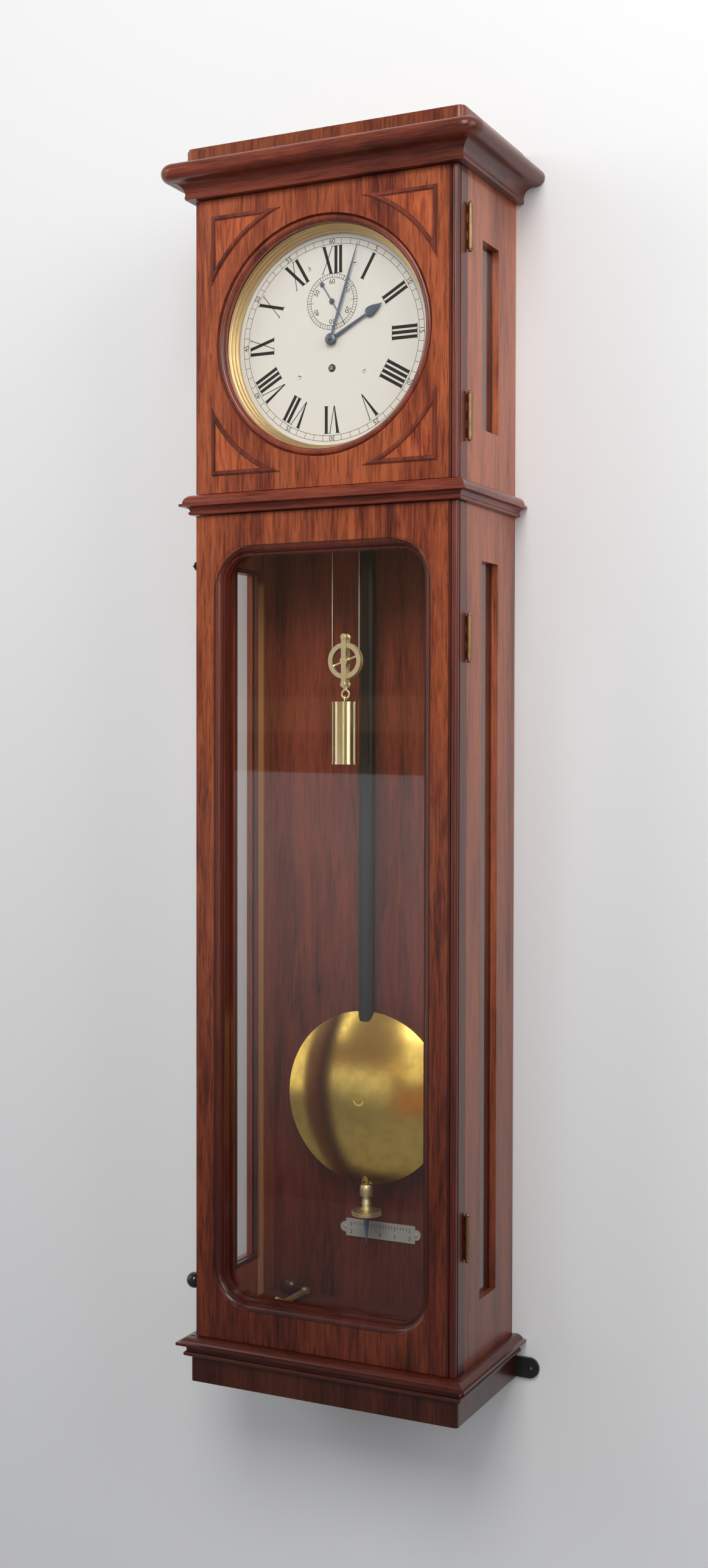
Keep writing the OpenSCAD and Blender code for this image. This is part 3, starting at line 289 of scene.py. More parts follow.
def blade(along, half, back, thick, centre, angle):
    """A hand: at each distance along it, a six-sided section of the given half width with a flat
    back at y = back and a bevelled front, laid at a clockwise angle from the top."""
    share = np.array([[-1, 0], [-1, 0.45], [-0.45, 1], [0.45, 1], [1, 0.45], [1, 0]])
    flat = np.stack([half[:, None] * share[:, 0], np.repeat(along[:, None], 6, 1)], 2)
    flat = turned(flat, angle, 0.0)
    depth = np.broadcast_to(back - thick * share[:, 1], half.shape + (6,))
    points = np.stack([flat[..., 0] + centre[0], depth, flat[..., 1] + centre[2]], 2).reshape(-1, 3)
    faces = grid_faces(len(along), 6, wrap_columns=True)
    last = 6 * (len(along) - 1)
    ends = np.array([[0, 1, 2, 3], [3, 4, 5, 0], [3, 2, 1, 0], [0, 5, 4, 3]])
    ends[2:] += last
    return points, np.concatenate([faces, ends])


def joined(*parts):
    """Several (points, faces) pairs as one."""
    faces, count = [], 0
    for points, corners in parts:
        faces += [[int(i) + count for i in face] for face in corners]
        count += len(points)
    return np.concatenate([points for points, _ in parts]), faces


def twisted_cord(path, radius, strands, lay, around=9):
    """Strands that wind round a path: each strand's centre turns round the path once a lay, and
    the strand is a circle about it. Returns the whole cord."""
    step = np.gradient(path, axis=0)
    tangent = step / np.linalg.norm(step, axis=1)[:, None]
    along = np.concatenate([[0], np.cumsum(np.linalg.norm(np.diff(path, axis=0), axis=1))])
    side = np.cross(tangent, [0.0, 1.0, 0.0])
    side /= np.linalg.norm(side, axis=1)[:, None]
    up = np.cross(side, tangent)
    thin = radius * 0.52
    a = np.arange(around) * 2 * math.pi / around
    faces = grid_faces(len(path), around, wrap_columns=True)
    parts = []
    for k in range(strands):
        turn = 2 * math.pi * (along / lay + k / strands)
        centre = path + (radius - thin) * (np.cos(turn)[:, None] * side + np.sin(turn)[:, None] * up)
        ring = (centre[:, None] + thin * (np.cos(a)[None, :, None] * side[:, None]
                                          + np.sin(a)[None, :, None] * up[:, None]))
        parts.append((ring.reshape(-1, 3), faces))
    return joined(*parts)


def figure_mesh(text, height):
    """A number as a flat mesh, centred on the origin in the x-y plane, of the given height."""
    curve = bpy.data.curves.new("figure", "FONT")
    curve.body = text
    curve.align_x = "CENTER"
    curve.resolution_u = 4
    curve.size = 1.0
    maker = linked("figure", curve)
    bpy.context.view_layer.update()
    mesh = bpy.data.meshes.new_from_object(maker.evaluated_get(bpy.context.evaluated_depsgraph_get()))
    bpy.data.objects.remove(maker)
    bpy.data.curves.remove(curve)
    co = np.zeros(3 * len(mesh.vertices), np.float32)
    mesh.vertices.foreach_get("co", co)
    co = co.reshape(-1, 3)
    low, high = co.min(0), co.max(0)
    co = (co - (low + high) / 2) * height / (high[1] - low[1])
    faces = [tuple(p.vertices) for p in mesh.polygons]
    bpy.data.meshes.remove(mesh)
    return co, faces


# Shader expressions

def binary(operation):
    """A method that adds a Math node for a Signal and a number or another Signal."""
    return lambda self, other: self._math(operation, other)


class Signal:
    """A number's socket: arithmetic on it adds Math nodes."""

    def __init__(self, maker, socket):
        self.maker, self.socket = maker, socket

    def _math(self, operation, *others, clamp=False):
        n = self.maker.add("ShaderNodeMath", {"operation": operation, "use_clamp": clamp},
                           dict(enumerate((self,) + others)))
        return Signal(self.maker, n.outputs[0])

    __add__, __sub__, __mul__ = binary("ADD"), binary("SUBTRACT"), binary("MULTIPLY")
    __pow__, larger, smaller = binary("POWER"), binary("MAXIMUM"), binary("MINIMUM")

    def __rsub__(self, other):
        return (self * -1.0) + other

    def clip(self):
        """The value held between 0 and 1."""
        return self._math("ADD", 0.0, clamp=True)

    def size(self):
        """The value without its sign."""
        return self._math("ABSOLUTE")

    def root(self):
        return self._math("SQRT")

    def near(self, value, reach):
        """1 at a value, falling to 0 a reach away from it."""
        return (1.0 - (self - value).size() * (1.0 / reach)).clip()

    def over(self, low, high):
        """0 below low, 1 above high, and even between."""
        return ((self - low) * (1.0 / (high - low))).clip()


class Finish:
    """Builds one material. Its methods add nodes and return their sockets."""

    def __init__(self, name):
        self.material = bpy.data.materials.new(name)
        self.material.use_nodes = True
        self.tree = self.material.node_tree
        self.tree.nodes.clear()
        self.output = self.tree.nodes.new("ShaderNodeOutputMaterial")
        self.place = self.add("ShaderNodeTexCoord", {}, {}).outputs["Object"]

    def add(self, kind, settings, values):
        """A node of a kind, with its settings made first and its sockets given values or links."""
        n = self.tree.nodes.new(kind)
        for key, value in settings.items():
            setattr(n, key, value)
        for key, value in values.items():
            self.feed(n.inputs[key], value)
        return n

    def feed(self, socket, value):
        if isinstance(value, Signal):
            value = value.socket
        if isinstance(value, bpy.types.NodeSocket):
            self.tree.links.new(value, socket)
        elif socket.type == "RGBA" and len(value) == 3:
            socket.default_value = (*value, 1.0)
        else:
            socket.default_value = value

    def axes(self):
        """x, y and z of the place on the object, as Signals."""
        n = self.add("ShaderNodeSeparateXYZ", {}, {"Vector": self.place})
        return [Signal(self, n.outputs[i]) for i in range(3)]

    def stretch(self, x, y, z, centre=(0, 0, 0)):
        """The place, moved so that centre is its origin and multiplied along each axis."""
        moved = self.add("ShaderNodeVectorMath", {"operation": "SUBTRACT"},
                         {0: self.place, 1: tuple(centre)}).outputs[0]
        grown = self.add("ShaderNodeVectorMath", {"operation": "MULTIPLY"}, {0: moved, 1: (x, y, z)})
        return grown.outputs[0]

    def noise(self, vector, scale=1.0, detail=4.0, rough=0.55, bend=0.0):
        n = self.add("ShaderNodeTexNoise", {}, {"Vector": vector, "Scale": scale, "Detail": detail,
                                                "Roughness": rough, "Distortion": bend})
        return Signal(self, n.outputs["Fac"])

    def ramp(self, factor, stops):
        """A colour that runs through (place, colour) stops."""
        n = self.add("ShaderNodeValToRGB", {}, {"Fac": factor})
        ends = n.color_ramp.elements
        while len(ends) < len(stops):
            ends.new(0.5)
        for end, (at, c) in zip(ends, stops):
            end.position = at
            end.color = (*c, 1.0)
        return n.outputs["Color"]

    def mix(self, factor, first, second, blend="MIX"):
        n = self.add("ShaderNodeMix", {"data_type": "RGBA", "blend_type": blend},
                     {0: factor, 6: first, 7: second})
        return n.outputs[2]

    def bump(self, height, distance, strength=1.0):
        return self.add("ShaderNodeBump", {}, {"Height": height, "Distance": distance,
                                               "Strength": strength}).outputs["Normal"]

    def surface(self, **values):
        """A Principled surface as the material's output. Returns the material."""
        values = {key.replace("_", " ").title().replace("Ior", "IOR"): v for key, v in values.items()}
        return self.show(self.add("ShaderNodeBsdfPrincipled", {}, values).outputs[0])

    def show(self, shader):
        """Makes a shader the material's output. Returns the material."""
        self.tree.links.new(shader, self.output.inputs[0])
        return self.material

    def clear(self, tint=(1.0, 1.0, 1.0)):
        """A shader that light passes straight through."""
        return self.add("ShaderNodeBsdfTransparent", {}, {"Color": tint}).outputs[0]

    def blend(self, share, first, second):
        """The first shader, with a share of the second in its place."""
        return self.add("ShaderNodeMixShader", {}, {0: share, 1: first, 2: second}).outputs[0]


# Finishes

BEAD_LIGHT, BEAD_DARK = (0.240, 0.042, 0.020), (0.060, 0.011, 0.008)
# The first colour is painted shade for the quirks beside mouldings and beads; the second is the dark of a
# board joint.
QUIRK_SHADE, JOINT_DARK = (0.012, 0.004, 0.003), (0.020, 0.006, 0.004)
# Painted light: the colour of daylight from the side window on the wood beside it.
PAINTED_DAYLIGHT = (0.95, 0.52, 0.20)
# Heights over which painted shade darkens the case towards its foot.
SHADE_FALLOFF_SPAN = (-1.45, -0.25)
HOOD_FOOT = (-0.42, -0.40)
LEFT_ONLY = (-0.14, -0.13)
WINDOW_TOP = -0.4255
SIDE_SEAM = -0.057
WOOD_BUMP, METAL_BUMP = 0.00005, 0.00001
FINISHES = {}


def polished_wood(name, light, mid, dark, grain="Z", seed=0.0, stripe=1.0, coat=0.38, rough=0.34,
                  edges=None, foot=0.30, flame=0.0, seam=None, window_light=None):
    """Veneer with broad bands, short dark flecks along the grain, fine fibres and pores. edges, if
    given, takes the finish's axes and returns (share of moulding, share of painted shade in the
    quirk), and foot is what is left of the colour at the foot of the case, under painted shade that
    darkens the wood towards the bottom. seam is the depth of an upright joint, and the last argument,
    if given, is the (x, y, z) of the upper corner of a strip of painted daylight from the side window."""
    f = Finish(name)
    centre = (seed, seed * 1.7, seed * 0.6)

    def lay(across, along):
        runs = {"Z": (across, across, along), "XY": (along, along, across)}[grain]
        return f.stretch(*runs, centre)

    bands = f.noise(lay(30.0, 2.2), detail=3.0, rough=0.5, bend=0.5)
    flecks = f.noise(lay(330.0, 24.0), detail=4.0, rough=0.62, bend=0.3)
    fibres = f.noise(lay(560.0, 18.0), detail=5.0, rough=0.68, bend=0.2)
    figure = f.noise(lay(60.0, 9.0), detail=4.0, rough=0.6, bend=0.9 + flame)
    pores = f.noise(lay(1500.0, 60.0), detail=2.0, rough=0.5)
    tone = bands * (0.38 - 0.1 * flame) + fibres * 0.30 + figure * (0.32 + 0.1 * flame)
    base = f.ramp(tone, [(0.36, dark), (0.45, mid), (0.56, light), (0.66, scaled(light, 1.15))])
    base = f.mix(flecks.over(0.50, 0.66) * (0.62 * stripe), base, dark)
    base = f.mix(pores.over(0.58, 0.70) * 0.42, base, dark)
    axes = f.axes()
    if edges:
        share, quirk_shade = edges(axes)
        strip = f.ramp(fibres * 0.5 + bands * 0.5, [(0.36, BEAD_DARK), (0.66, BEAD_LIGHT)])
        base = f.mix(share, base, strip)
        # Painted shade: a dark line in the quirk where a moulding or bead meets the veneer.
        base = f.mix(quirk_shade * 0.85, base, QUIRK_SHADE)
    if seam:
        joint = axes[1].near(seam, 0.0007) * axes[2].over(*HOOD_FOOT) * 0.75
        base = f.mix(joint, base, JOINT_DARK)
    # Painted light: a golden strip where daylight through the side window falls on the wood beside it.
    if window_light:
        inner, back, top = window_light
        beside = axes[0].over(inner - 0.0003, inner) * axes[1].over(back - 0.0006, back)
        beside = beside * (1.0 - axes[0].over(*LEFT_ONLY))
        beside = beside * (1.0 - axes[1].over(back + 0.013, back + 0.017))
        beside = beside * (1.0 - axes[2].over(top - 0.016, top - 0.006))
        base = f.mix(beside * (fibres * 0.3 + 0.75), base, PAINTED_DAYLIGHT)
    # Painted shade: the colour darkens towards the foot of the case, for light that falls off downwards.
    base = f.mix(1.0 - axes[2].over(*SHADE_FALLOFF_SPAN), base, (foot, foot * 0.80, foot * 0.92), "MULTIPLY")
    hollow = (pores.over(0.56, 0.72) * -0.7) + fibres * 0.3
    return f.surface(base_color=base, roughness=(fibres * 0.12) + (rough - 0.05),
                     normal=f.bump(hollow, WOOD_BUMP, 0.45), coat_weight=coat, coat_roughness=0.14,
                     coat_ior=1.45, specular_ior_level=0.3)


def opening_edge(middle_x, middle_z, half_w, half_h, radius, width):
    """Shares of moulding and of painted shade in the quirk round a rounded opening, from the distance
    outside it: d = |max(q, 0)| + min(max(qx, qz), 0) - radius with q = |p - middle| - half + radius."""
    def shares(axes):
        qx = (axes[0] - middle_x).size() - (half_w - radius)
        qz = (axes[2] - middle_z).size() - (half_h - radius)
        px, pz = qx.larger(0.0), qz.larger(0.0)
        d = (px * px + pz * pz).root() + qx.larger(qz).smaller(0.0) - radius
        return 1.0 - d.over(width - 0.0004, width + 0.0004), d.near(width, 0.0016)
    return shares


def corner_bead(shares, corner_x, width):
    """Adds the bead on the right corner, and the painted shade in its quirk, to the shares of an edge."""
    def both(axes):
        share, quirk_shade = shares(axes) if shares else (0.0, 0.0)
        bead = axes[0].over(corner_x - width - 0.0004, corner_x - width + 0.0004)
        return bead.larger(share), axes[0].near(corner_x - width, 0.0015).larger(quirk_shade)
    return both


def turned_metal(name, tint, rough=0.2, tarnish=0.25, dull=(0.30, 0.19, 0.08)):
    """Polished metal with faint tarnish clouds and fine scratches."""
    f = Finish(name)
    clouds = f.noise(f.stretch(60, 60, 60), detail=5.0, rough=0.65)
    fine = f.noise(f.stretch(700, 700, 240), detail=3.0)
    base = f.mix(clouds.over(0.42, 0.78) * tarnish, tint, dull)
    return f.surface(base_color=base, metallic=1.0, normal=f.bump(fine, METAL_BUMP, 0.3),
                     roughness=(clouds * 0.16) + (fine * 0.06) + (rough - 0.09))


def silvering(name, tint):
    """Silvered brass with a fine upright grain and a warm uneven tone."""
    f = Finish(name)
    grain = f.noise(f.stretch(2600, 60, 55), detail=4.0, rough=0.6)
    cloud = f.noise(f.stretch(16, 16, 11), detail=4.0, rough=0.6)
    specks = f.noise(f.stretch(420, 420, 420), detail=2.0)
    warm = tuple(c * k for c, k in zip(tint, (0.95, 0.92, 0.88)))
    base = f.mix(cloud.over(0.35, 0.75) * 0.5, tint, warm)
    base = f.mix(grain.over(0.5, 0.8) * 0.12, base, scaled(tint, 0.8))
    base = f.mix(specks.over(0.70, 0.78) * 0.25, base, (0.45, 0.36, 0.26))
    return f.surface(base_color=base, metallic=0.0, roughness=(grain * 0.14) + 0.40,
                     normal=f.bump(grain, METAL_BUMP, 0.25))


def blued(name, tint):
    """Blued steel: dark blue with a little drift towards grey."""
    f = Finish(name)
    drift = f.noise(f.stretch(90, 90, 90), detail=3.0)
    base = f.mix(drift.over(0.35, 0.7) * 0.5, tint, (0.17, 0.19, 0.23))
    return f.surface(base_color=base, metallic=0.55, roughness=(drift * 0.12) + 0.26)


def plain_coat(name, tint, rough, sheen=0.0, grain=240.0):
    """Paint, wax or ebony: an even colour with a faint texture and polish marks."""
    f = Finish(name)
    wear = f.noise(f.stretch(grain, grain, grain * 0.2), detail=4.0)
    base = f.mix(wear.over(0.4, 0.8) * 0.35, tint, tuple(min(1.0, 1.9 * c + 0.004) for c in tint))
    return f.surface(base_color=base, roughness=(wear * 0.12) + (rough - 0.06), coat_weight=sheen,
                     coat_roughness=0.12, specular_ior_level=0.3, normal=f.bump(wear, METAL_BUMP, 0.15))


def clear_glass(name, grazing=0.9, least=0.035):
    """A pane: light passes straight through, and least + grazing (1 - cos a)^5 of it is mirrored."""
    f = Finish(name)
    shine = f.add("ShaderNodeBsdfGlossy", {}, {"Color": (1.0, 1.0, 1.0), "Roughness": 0.02}).outputs[0]
    tilt = Signal(f, f.add("ShaderNodeLayerWeight", {}, {"Blend": 0.5}).outputs["Facing"])
    return f.show(f.blend((tilt ** 5.0) * grazing + least, f.clear((0.985, 0.99, 0.987)), shine))


def gut_finish(name, tint):
    """Waxed gut: a warm translucent brown with darker flecks."""
    f = Finish(name)
    flecks = f.noise(f.stretch(900, 900, 260), detail=3.0)
    base = f.mix(flecks.over(0.4, 0.7) * 0.6, tint, scaled(tint, 0.45))
    return f.surface(base_color=base, roughness=(flecks * 0.2) + 0.35)


def dress(given):
    """Gives CAD nodes their finishes, from the names of each finish's nodes."""
    for finish, nodes in given.items():
        for node in nodes.split():
            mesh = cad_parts[node].data
            mesh.materials.clear()
            mesh.materials.append(finish)


class REG_OT_woods(bpy.types.Operator):
    """Make the woods and give them to the case and the doors"""
    bl_idname = "reg.woods"
    bl_label = "Woods"

    def execute(self, context):
        c = props()[1]
        red = light, mid, dark = tuple(c.red_light), tuple(c.red_mid), tuple(c.red_dark)
        moulds = tuple(c.mould_light), tuple(c.mould_mid), tuple(c.mould_dark)
        sides = tuple(c.side_light), tuple(c.side_mid), scaled(dark, 2.0)
        pane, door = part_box("trunk_glass"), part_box("trunk_door")
        lap, corner, bead, moulding = 0.0065, 0.044, 0.0105, 0.011
        hole = opening_edge((pane[0].x + pane[1].x) / 2, (pane[0].z + pane[1].z) / 2,
                            (pane[1].x - pane[0].x) / 2 - lap, (pane[1].z - pane[0].z) / 2 - lap,
                            corner, moulding)
        front = polished_wood("front_veneer", *red, seed=0.31, edges=corner_bead(hole, door[1].x, bead))
        hood = polished_wood("hood_veneer", *red, seed=2.13, edges=corner_bead(None, door[1].x, bead))
        bright = polished_wood("spandrel_veneer", scaled(light, 1.25), scaled(mid, 1.35), dark,
                               seed=4.4, stripe=0.45, flame=1.4)
        side = polished_wood("side_veneer", *sides, seed=5.2, stripe=0.45, seam=SIDE_SEAM)
        inner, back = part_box("side_left")[1].x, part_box("side_panes")[1].y - 0.004
        # Painted light: the left side's inner face carries a strip of daylight beside the window.
        window_lit_side = polished_wood("window_lit_veneer", *sides, seed=5.2, stripe=0.45, foot=0.55,
                              window_light=(inner - 0.0003, back, WINDOW_TOP))
        middle_wood = polished_wood("mid_moulding_wood", scaled(moulds[0], 1.35), scaled(moulds[1], 1.35),
                                    moulds[2], grain="XY", seed=1.2, stripe=0.7)
        mould = polished_wood("moulding_wood", *moulds, grain="XY", seed=1.2, stripe=0.7)
        # The pane beads carry the same painted daylight.
        bead_wood = polished_wood("pane_bead_wood", *moulds, seed=3.7, stripe=0.6,
                                  window_light=(inner - 0.011, back, WINDOW_TOP))
        upright = polished_wood("upright_moulding_wood", *moulds, seed=3.7, stripe=0.6)
        crest = polished_wood("crest_veneer", scaled(light, 0.62), scaled(mid, 0.7), dark, seed=8.8)
        inside = polished_wood("inside_wood", scaled(c.inner_mid, 1.6), tuple(c.inner_mid), dark,
                               seed=7.7, coat=0.2, rough=0.4, stripe=0.6)
        ring = polished_wood("ring_wood", scaled(moulds[0], 1.1), scaled(moulds[1], 1.15), moulds[2],
                             seed=6.1, stripe=0.3, coat=0.7)
        foot_wood = polished_wood("plinth_veneer", scaled(light, 0.5), scaled(mid, 0.42), dark,
                                  seed=9.4, stripe=0.6)
        FINISHES["ring"] = ring
        dress({
            front: "trunk_door", hood: "hood_door", bright: "spandrel_panels", window_lit_side: "side_left",
            side: "side_right", mould: "cornice base_moulding", middle_wood: "mid_moulding",
            crest: "crest", foot_wood: "plinth", ring: "door_ring", bead_wood: "pane_beads",
            upright: "spandrel_beads trunk_glass_bead crank_handle",
            inside: "backboard cross_rail floor_board seatboard seat_cheeks",
        })
        return {"FINISHED"}


class REG_OT_metals(bpy.types.Operator):
    """Make the metals and give them to the movement, weight, pendulum and fittings"""
    bl_idname = "reg.metals"
    bl_label = "Metals"

    def execute(self, context):
        c = props()[1]
        brass = turned_metal("polished_brass", tuple(c.brass))
        pale = turned_metal("lacquered_brass", tuple(c.pale_brass), rough=0.17, tarnish=0.15)
        bronze = turned_metal("aged_brass", tuple(c.bronze), rough=0.42, tarnish=0.6,
                              dull=(0.09, 0.05, 0.025))
        # Painted shade: a dark brass that stands for the shade in the winding hole.
        dark_brass = turned_metal("dark_brass", (0.22, 0.13, 0.07), rough=0.35)
        steel = turned_metal("bright_steel", (0.62, 0.62, 0.62), rough=0.3, dull=(0.2, 0.19, 0.18))
        key_brass = turned_metal("crank_brass", tuple(c.pale_brass), rough=0.42, tarnish=0.3)
        satin = turned_metal("satin_brass", tuple(c.satin), rough=0.30, tarnish=0.2,
                             dull=(0.45, 0.31, 0.16))
        disc = turned_metal("bob_brass", tuple(c.bob), rough=0.19, tarnish=0.3)
        blue = blued("blued_steel", tuple(c.blue))
        silver = silvering("silvered_brass", tuple(c.silver))
        black = plain_coat("black_paint", (0.014, 0.013, 0.014), 0.42)
        ebony = plain_coat("ebonised_wood", (0.005, 0.005, 0.0055), 0.30, sheen=0.6, grain=90.0)
        scale = silvering("scale_silver", scaled(c.silver, 0.46))
        wax = plain_coat("black_wax", (0.012, 0.012, 0.013), 0.5)
        FINISHES.update(satin=satin, key_brass=key_brass, dark_brass=dark_brass, steel=steel,
                        blue=blue, wax=wax)
        dress({
            brass: "line_anchor suspension_cock front_plate back_plate pillars centre_wheel "
                   "hour_wheel minute_wheel third_wheel escape_wheel great_wheel barrel",
            disc: "bob", key_brass: "winding_crank pulley_frame pulley_wheel rating_nut",
            pale: "weight", satin: "sight_ring", bronze: "hinge_posts hood_hinges trunk_hinges",
            steel: "hang_plate pallets suspension_spring",
            blue: "minute_hand hour_hand seconds_hand pointer",
            silver: "dial_plate dial_screws", scale: "beat_scale", black: "wall_bar",
            ebony: "pendulum_rod trunk_knobs",
        })
        return {"FINISHED"}


class REG_OT_glass(bpy.types.Operator):
    """Give every pane its glass"""
    bl_idname = "reg.glass"
    bl_label = "Glass"

    def execute(self, context):
        dress({clear_glass("clear_glass"): "hood_glass trunk_glass",
               clear_glass("side_glass", grazing=1.6, least=0.06): "side_panes"})
        return {"FINISHED"}


# Dial

def roman(text, d):
    """The strokes of a Roman number as four-cornered outlines, centred, standing on v = 0."""
    h, stem, step = d.roman_top - d.roman_foot, d.stem, d.step
    thin = stem * 0.24
    wide = {"I": stem, "V": stem * 3.3, "X": stem * 3.5}
    gap = step - stem
    reach = gap / 2
    u, out, feet = 0.0, [], []
    for letter in text:
        w = wide[letter]
        if letter == "I":
            strokes = [((u, stem), (u, stem))]
        elif letter == "V":
            tip = u + 0.55 * w
            strokes = [((u, stem), (tip - 0.3 * stem, 0.3 * stem)),
                       ((u + w - thin, thin), (tip - thin, thin))]
        else:
            strokes = [((u, stem), (u + w - stem, stem)), ((u + w - thin, thin), (u, thin))]
        for (top, tw), (foot, fw) in strokes:
            out.append([(foot, 0), (top, h), (top + tw, h), (foot + fw, 0)])
            feet.append((top - reach, top + tw + reach, h))
            if letter != "V":
                feet.append((foot - reach, foot + fw + reach, 0))
        u += w + gap
    for a, b, v in feet:
        lift = -d.serif if v else 0.0
        out.append([(a, v + lift), (a, v + lift + d.serif), (b, v + lift + d.serif), (b, v + lift)])
    q = np.array(out, float)
    q[:, :, 0] -= (u - gap) / 2
    return q


def engraved(name, outlines, centre, height):
    """A piece of wax marks, as slabs that stand on the dial's face about a centre."""
    new_piece(name, "case", "wax", "ebonised", *slabs(outlines, height, centre), smooth=False)


def lettered(name, flats):
    """A piece of wax figures: flat (points, faces) pairs that face the front."""
    mesh = new_piece(name, "case", "wax", "ebonised", *joined(*flats), smooth=False).data
    if sum(p.normal.y * p.area for p in mesh.polygons) > 0:
        mesh.flip_normals()


def numbered(name, figures, centre, lift):
    """A piece of flat numbers: (text, height, angle, radius), each standing outwards."""
    flats = []
    for text, height, angle, radius in figures:
        co, polygons = figure_mesh(text, height)
        flat = turned(co[:, :2].astype(float), angle, radius)
        points = np.stack([flat[:, 0], np.full(len(flat), -lift), flat[:, 1]], 1)
        flats.append((points + np.array(centre), polygons))
    lettered(name, flats)


class REG_OT_numerals(bpy.types.Operator):
    """Cut the Roman hours into the dial"""
    bl_idname = "reg.numerals"
    bl_label = "Roman numerals"

    def execute(self, context):
        d = props()[0]
        names = ["XII", "I", "II", "III", "IIII", "V", "VI", "VII", "VIII", "IX", "X", "XI"]
        outlines = [turned(roman(text, d), i * math.pi / 6, d.roman_foot) for i, text in enumerate(names)]
        engraved("roman_numerals", outlines, DIAL, d.proud)
        return {"FINISHED"}


class REG_OT_tracks(bpy.types.Operator):
    """Cut the minute and seconds tracks"""
    bl_idname = "reg.tracks"
    bl_label = "Minute and seconds tracks"

    def execute(self, context):
        d = props()[0]
        half = d.hair / 2
        minute = np.array([i for i in range(60) if i % 5]) * math.pi / 30
        outer = [ring_quads(r - half, r + half, 240) for r in (d.track_outer, d.track_inner)]
        outer.append(tick_quads(minute, d.track_inner, d.track_outer, d.hair))
        engraved("minute_track", outer, DIAL, d.proud)
        second = np.arange(60) * math.pi / 30
        tens = np.arange(12) * math.pi / 6
        inner = [ring_quads(r - half, r + half, 120) for r in (d.seconds_outer, d.seconds_inner)]
        inner.append(tick_quads(second, d.seconds_inner, d.seconds_outer, d.hair * 0.9))
        inner.append(tick_quads(tens, d.seconds_inner, d.seconds_outer, d.hair * 1.5))
        quarters = np.array([0.5, 1.5]) * math.pi
        inner.append(tick_quads(quarters, d.seconds_inner - 0.0034, d.seconds_inner, d.hair * 1.1))
        engraved("seconds_track", inner, SECONDS, d.proud)
        return {"FINISHED"}


class REG_OT_figures(bpy.types.Operator):
    """Cut the minute and seconds figures"""
    bl_idname = "reg.figures"
    bl_label = "Figures"

    def execute(self, context):
        d = props()[0]
        mid = (d.track_outer + d.track_inner) / 2
        minutes = [(str(n), d.figures, n * math.pi / 30, mid) for n in range(5, 65, 5)]
        numbered("minute_figures", minutes, DIAL, d.proud)
        ring = d.seconds_inner - 0.0046
        seconds = [(str(n), d.seconds_figures, n * math.pi / 30, ring) for n in range(10, 70, 10)]
        numbered("seconds_figures", seconds, SECONDS, d.proud)
        return {"FINISHED"}


class REG_OT_hands(bpy.types.Operator):
    """Make the hour, minute and seconds hands with their bosses"""
    bl_idname = "reg.hands"
    bl_label = "Hands"

    def execute(self, context):
        d = props()[0]
        self.hour(d)
        self.minute(d)
        self.second(d)
        return {"FINISHED"}

    def hour(self, d):
        """A stem and a spade. At the share s of the spade, with u = max(s - w, 0) / (1 - w), its half
        width is h sqrt(1 - (max(w - s, 0) / w)^2) (1 - u)^1.6 (1 + 1.6 u)."""
        low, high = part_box("hour_hand")
        root, tip, wide, point = 0.004, 0.078, 0.24, 0.0002
        stem = np.linspace(root, d.spade_foot, 12)
        s = np.linspace(0.02, 0.985, 34)
        u = ((s - wide) / (1 - wide)).clip(0)
        belly = np.sqrt(1 - ((wide - s).clip(0) / wide) ** 2)
        spade = d.spade_half * belly * (1 - u) ** 1.6 * (1 + 1.6 * u) + point
        along = np.concatenate([stem, d.spade_foot + s * (tip - d.spade_foot)])
        half = np.concatenate([np.interp(stem, [root, d.spade_foot], [0.0023, 0.0015]), spade])
        angle = math.radians(30 * d.hours + d.minutes / 2)
        shape = joined(blade(along, half, high.y, high.y - low.y, DIAL, angle),
                       revolved(washer(0.0043, 0.0073, high.y, low.y), DIAL, 72))
        piece = new_piece("hour_spade", "hour_pipe", "blue", "blued_steel", *shape)
        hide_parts("hour_hand")

    def minute(self, d):
        """A slim lance with a domed boss."""
        low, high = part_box("minute_hand")
        root, tip, thick = 0.004, 0.1178, 0.0009
        along = np.linspace(root, tip, 30)
        half = np.interp(along, [root, 0.055, 0.100, tip], [0.0015, 0.0019, 0.0010, 0.0002])
        bore, rim = 0.0016, 0.0070
        dome = [(bore, high.y), (rim, high.y), (rim, high.y - thick), (0.0058, low.y + 0.0006),
                (0.0036, low.y), (bore, low.y)]
        shape = joined(blade(along, half, high.y, thick, DIAL, math.radians(6 * d.minutes)),
                       revolved(rounded(dome, 0.0006), DIAL, 72))
        piece = new_piece("minute_lance", "centre_arbor", "blue", "blued_steel", *shape)
        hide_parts("minute_hand")

    def second(self, d):
        """A needle with a boss and a disc on its tail."""
        low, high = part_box("seconds_hand")
        angle = math.radians(6 * d.seconds)
        tail, tip, reach = -0.0235, 0.0328, -0.0250
        along = np.linspace(tail, tip, 24)
        half = np.interp(along, [tail, 0.006, tip], [0.0007, 0.0008, 0.0002])
        end = (SECONDS.x + reach * math.sin(angle), 0.0, SECONDS.z + reach * math.cos(angle))
        shape = joined(blade(along, half, high.y, high.y - low.y, SECONDS, angle),
                       revolved(washer(0.0009, 0.0036, high.y, low.y), SECONDS, 48),
                       revolved(washer(0.0001, 0.0030, high.y, low.y), end, 36))
        piece = new_piece("seconds_needle", "escape_arbor", "blue", "blued_steel", *shape)
        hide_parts("seconds_hand")


